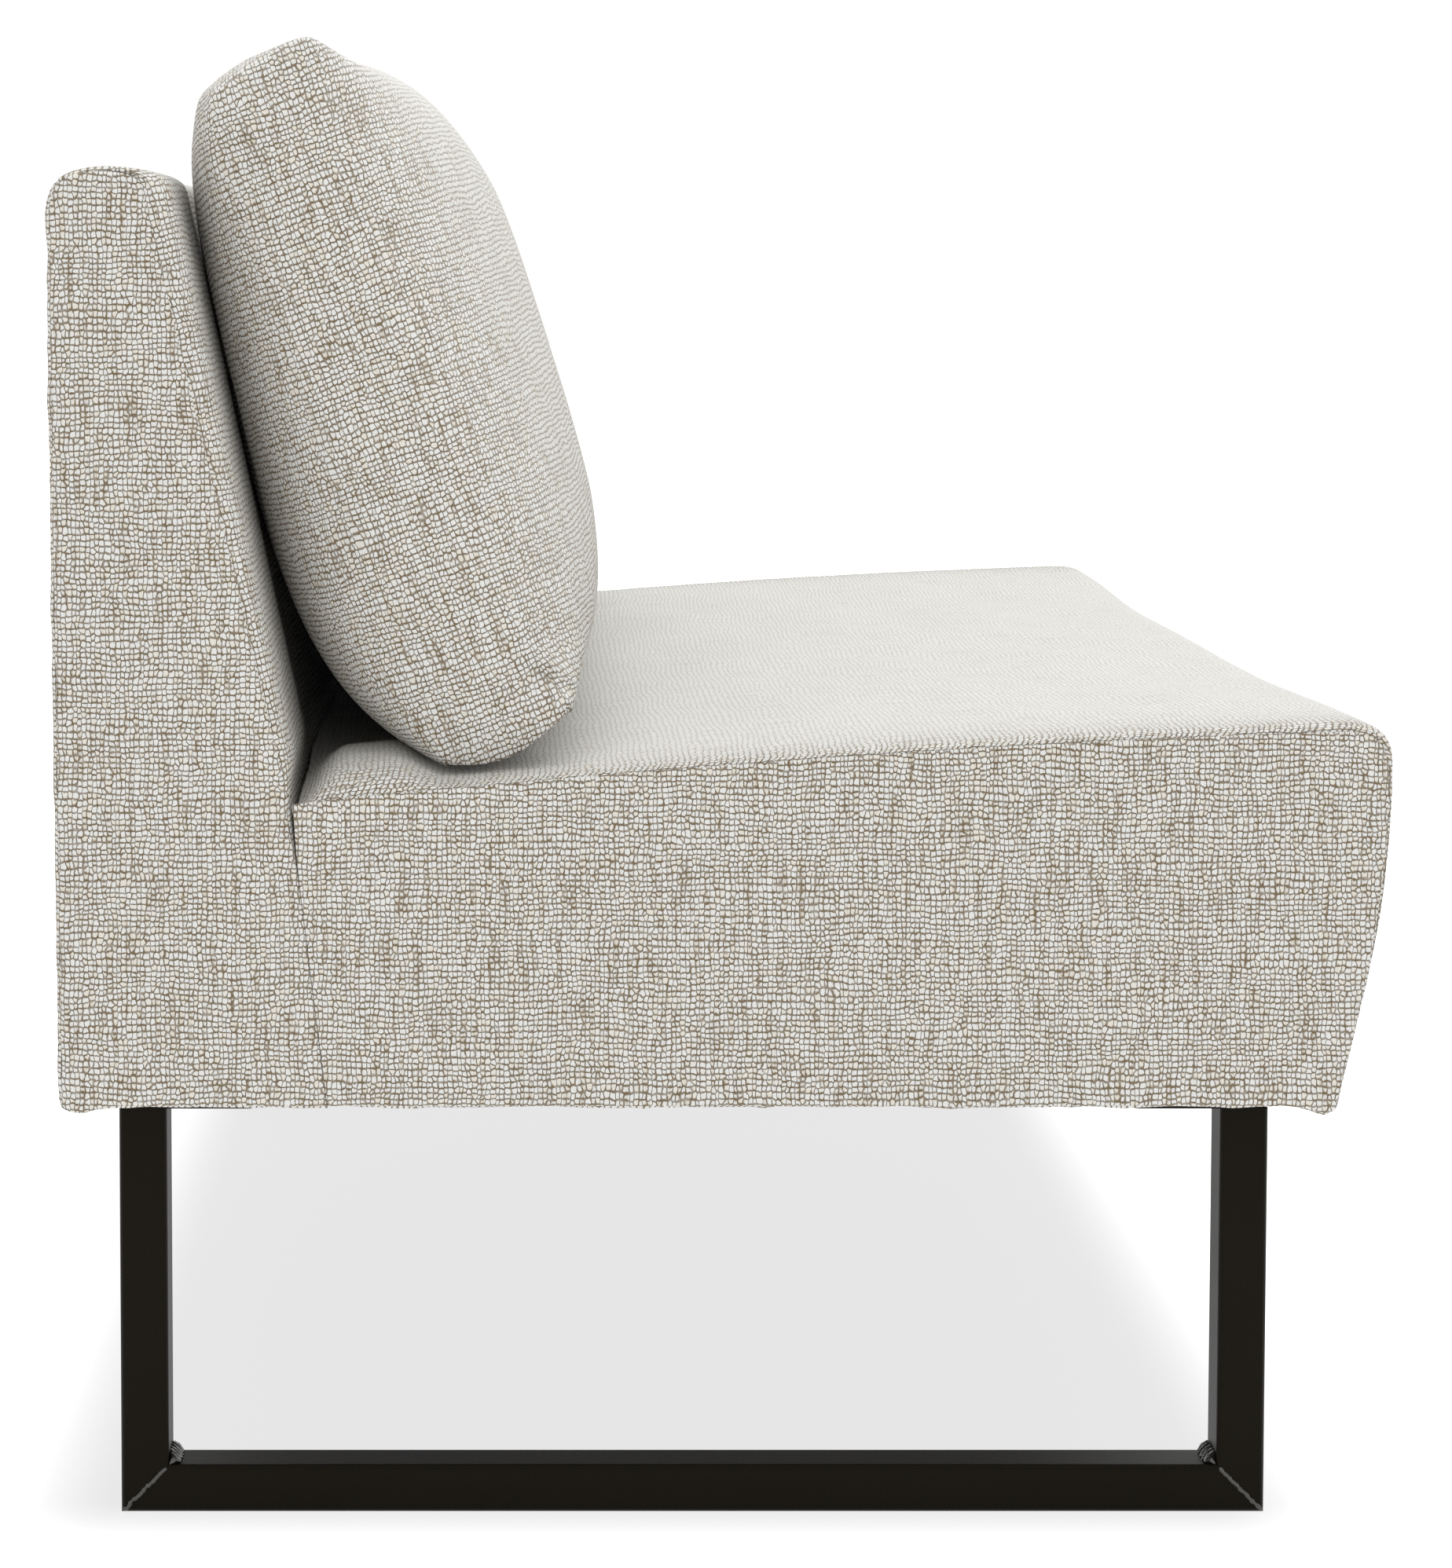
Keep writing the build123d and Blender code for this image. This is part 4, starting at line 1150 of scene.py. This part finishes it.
def bead(start, direction, width, up, length, half_width, rise, root, seed):
    """One rippled bead: its rings of points, and the quads and ends that close it.

    The root is the ring's points under the metal, each a place across and a depth."""
    count = int(length / BEAD_STEP)
    t = np.linspace(0, length, count)[:, None]
    s = np.linspace(-1, 1, BEAD_POINTS)[None, :]
    stray, swell, pace = (
        waves(t, over, seed + number)[:, None] * much
        for number, (over, much) in enumerate((BEAD_STRAY, BEAD_SWELL, BEAD_PACE))
    )
    girth = 1 + swell
    phase = (t - half_width * 0.9 * (1 - s**2)) / RIPPLE + pace
    ripple = np.abs(np.sin(math.pi * phase)) ** 0.8
    taper = np.clip(np.minimum(t, length - t) / half_width, 0.05, 1) ** 0.5
    height = rise * taper * (1 - s**2) * (0.62 + 0.38 * ripple) * girth
    side = s * half_width * taper * girth + stray
    upper = np.stack([t + 0 * s, side, height], -1)
    lower = np.array([[(place, across, -depth) for across, depth in root] for place in t[:, 0]])
    ring = np.concatenate([upper, lower], 1)
    axes = np.stack([np.array(v, float) / np.linalg.norm(v) for v in (direction, width, up)])
    points = (np.array(start) + ring.reshape(-1, 3) @ axes) * MM
    size = ring.shape[1]
    faces = []
    for first in range(0, (count - 1) * size, size):
        for j in range(size):
            near, far = first + j, first + (j + 1) % size
            faces.append((near, far, far + size, near + size))
    faces.append(tuple(range(size - 1, -1, -1)))
    faces.append(tuple((count - 1) * size + j for j in range(size)))
    return points, faces


for side_name, side in (("left", -1), ("right", 1)):
    all_points, all_faces, seed = [], [], 200 + side
    for outer_y, inward in SLED_ENDS:
        beads = [
            bead(
                start=(
                    side * SLED_X + face * TUBE / 2,
                    outer_y + inward * TUBE_ROUND / 2,
                    TUBE_ROUND / 2,
                ),
                direction=(0, inward, 1),
                width=(0, -inward, 1),
                up=(face, 0, 0),
                length=(TUBE - TUBE_ROUND) * 2**0.5,
                half_width=WELD_HALF_WIDTH,
                rise=WELD_RISE,
                root=((WELD_HALF_WIDTH, WELD_ROOT), (-WELD_HALF_WIDTH, WELD_ROOT)),
                seed=seed + 7 * face,
            )
            for face in (-1, 1)
        ]
        beads.append(
            bead(
                start=(
                    side * SLED_X - TUBE / 2 + FILLET_INSET,
                    outer_y + inward * (TUBE + FILLET / 2),
                    TUBE + FILLET / 2,
                ),
                direction=(1, 0, 0),
                width=(0, -inward, 1),
                up=(0, inward, 1),
                length=TUBE - 2 * FILLET_INSET,
                half_width=FILLET / 2**0.5,
                rise=FILLET_RISE,
                root=((0.0, FILLET / 2**0.5),),
                seed=seed + 20,
            )
        )
        for points, faces in beads:
            base = sum(len(p) for p in all_points)
            all_points.append(points)
            all_faces += [tuple(base + k for k in face) for face in faces]
        seed += 40
    mesh = bpy.data.meshes.new(f"{side_name}_sled_welds")
    mesh.from_pydata(np.concatenate(all_points).tolist(), [], all_faces)
    mesh.shade_smooth()
    mesh.materials.append(weld_metal)
    welds = bpy.data.objects.new(mesh.name, mesh)
    bpy.context.scene.collection.objects.link(welds)
    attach(welds, "bench")
    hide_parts(f"{side_name}_weld_beads")

# Floor and light, in metres: the edges of the shadow painted into the floor's glow, and how far it
# fades out past them and in
FLOOR_HALF = 30.0
FLOOR_GLOW = 1.45
FLOOR_TONES = ((0.04, 0.04, 0.04), (0.045, 0.045, 0.045))
LIT = (1.0, 1.0, 1.0)
PAINTED_SHADOW = (0.534, 0.529, 0.531)
SHADE_END, SHADE_FRONT, SHADE_REAR = 0.566, -0.36, 0.425
SHADE_OUT, SHADE_IN = 0.112, 0.05
floor_mesh = bpy.data.meshes.new("floor")
floor_mesh.from_pydata(
    [(x * FLOOR_HALF, y * FLOOR_HALF, 0) for x, y in ((-1, -1), (1, -1), (1, 1), (-1, 1))],
    [],
    [(0, 1, 2, 3)],
)


def studio_floor(start):
    """A glowing white sweep with an even, soft-edged shadow painted into its glow where the bench
    stands.
    """
    place = object_place(start)
    flat = start.node("SeparateXYZ", (), {0: place})
    middle, half = (SHADE_FRONT + SHADE_REAR) / 2, (SHADE_REAR - SHADE_FRONT) / 2
    inside = (SHADE_END - abs(flat), half - abs(flat.out("Y") - middle))
    along, across = (room.smooth(-SHADE_OUT, SHADE_IN) for room in inside)
    cloud = start.noise(place, scale=0.6, detail=2.0)
    return start.node(
        "BsdfPrincipled",
        (),
        {
            "Base Color": cloud.mix(*FLOOR_TONES),
            "Roughness": 0.8,
            "Specular IOR Level": 0.1,
            # Painted shadow: the glow is dimmed to a flat grey under the bench
            "Emission Color": (along * across).mix(LIT, PAINTED_SHADOW),
            "Emission Strength": FLOOR_GLOW,
        },
    )


floor_mesh.materials.append(finish("studio_floor", studio_floor))
floor = bpy.data.objects.new("floor", floor_mesh)
bpy.context.scene.collection.objects.link(floor)

SKY = 1.02
world = bpy.data.worlds.new("studio")
world.use_nodes = True
sky = world.node_tree.nodes["Background"].inputs
sky["Color"].default_value = (*LIT, 1.0)
sky["Strength"].default_value = SKY
bpy.context.scene.world = world
bpy.context.scene.view_settings.view_transform = "Standard"

LAMP_PLACE, LAMP_AIM = Vector((-0.3, -0.4, 3.2)), Vector((0, 0, 0.4))
LAMP_SIZE, LAMP_POWER = 2.6, 50.0
overhead = bpy.data.lights.new("overhead", "AREA")
overhead.shape = "SQUARE"
overhead.size = LAMP_SIZE
overhead.energy = LAMP_POWER
lamp = bpy.data.objects.new("overhead", overhead)
lamp.location = LAMP_PLACE
lamp.rotation_euler = (LAMP_AIM - LAMP_PLACE).to_track_quat("-Z", "Y").to_euler()
bpy.context.scene.collection.objects.link(lamp)
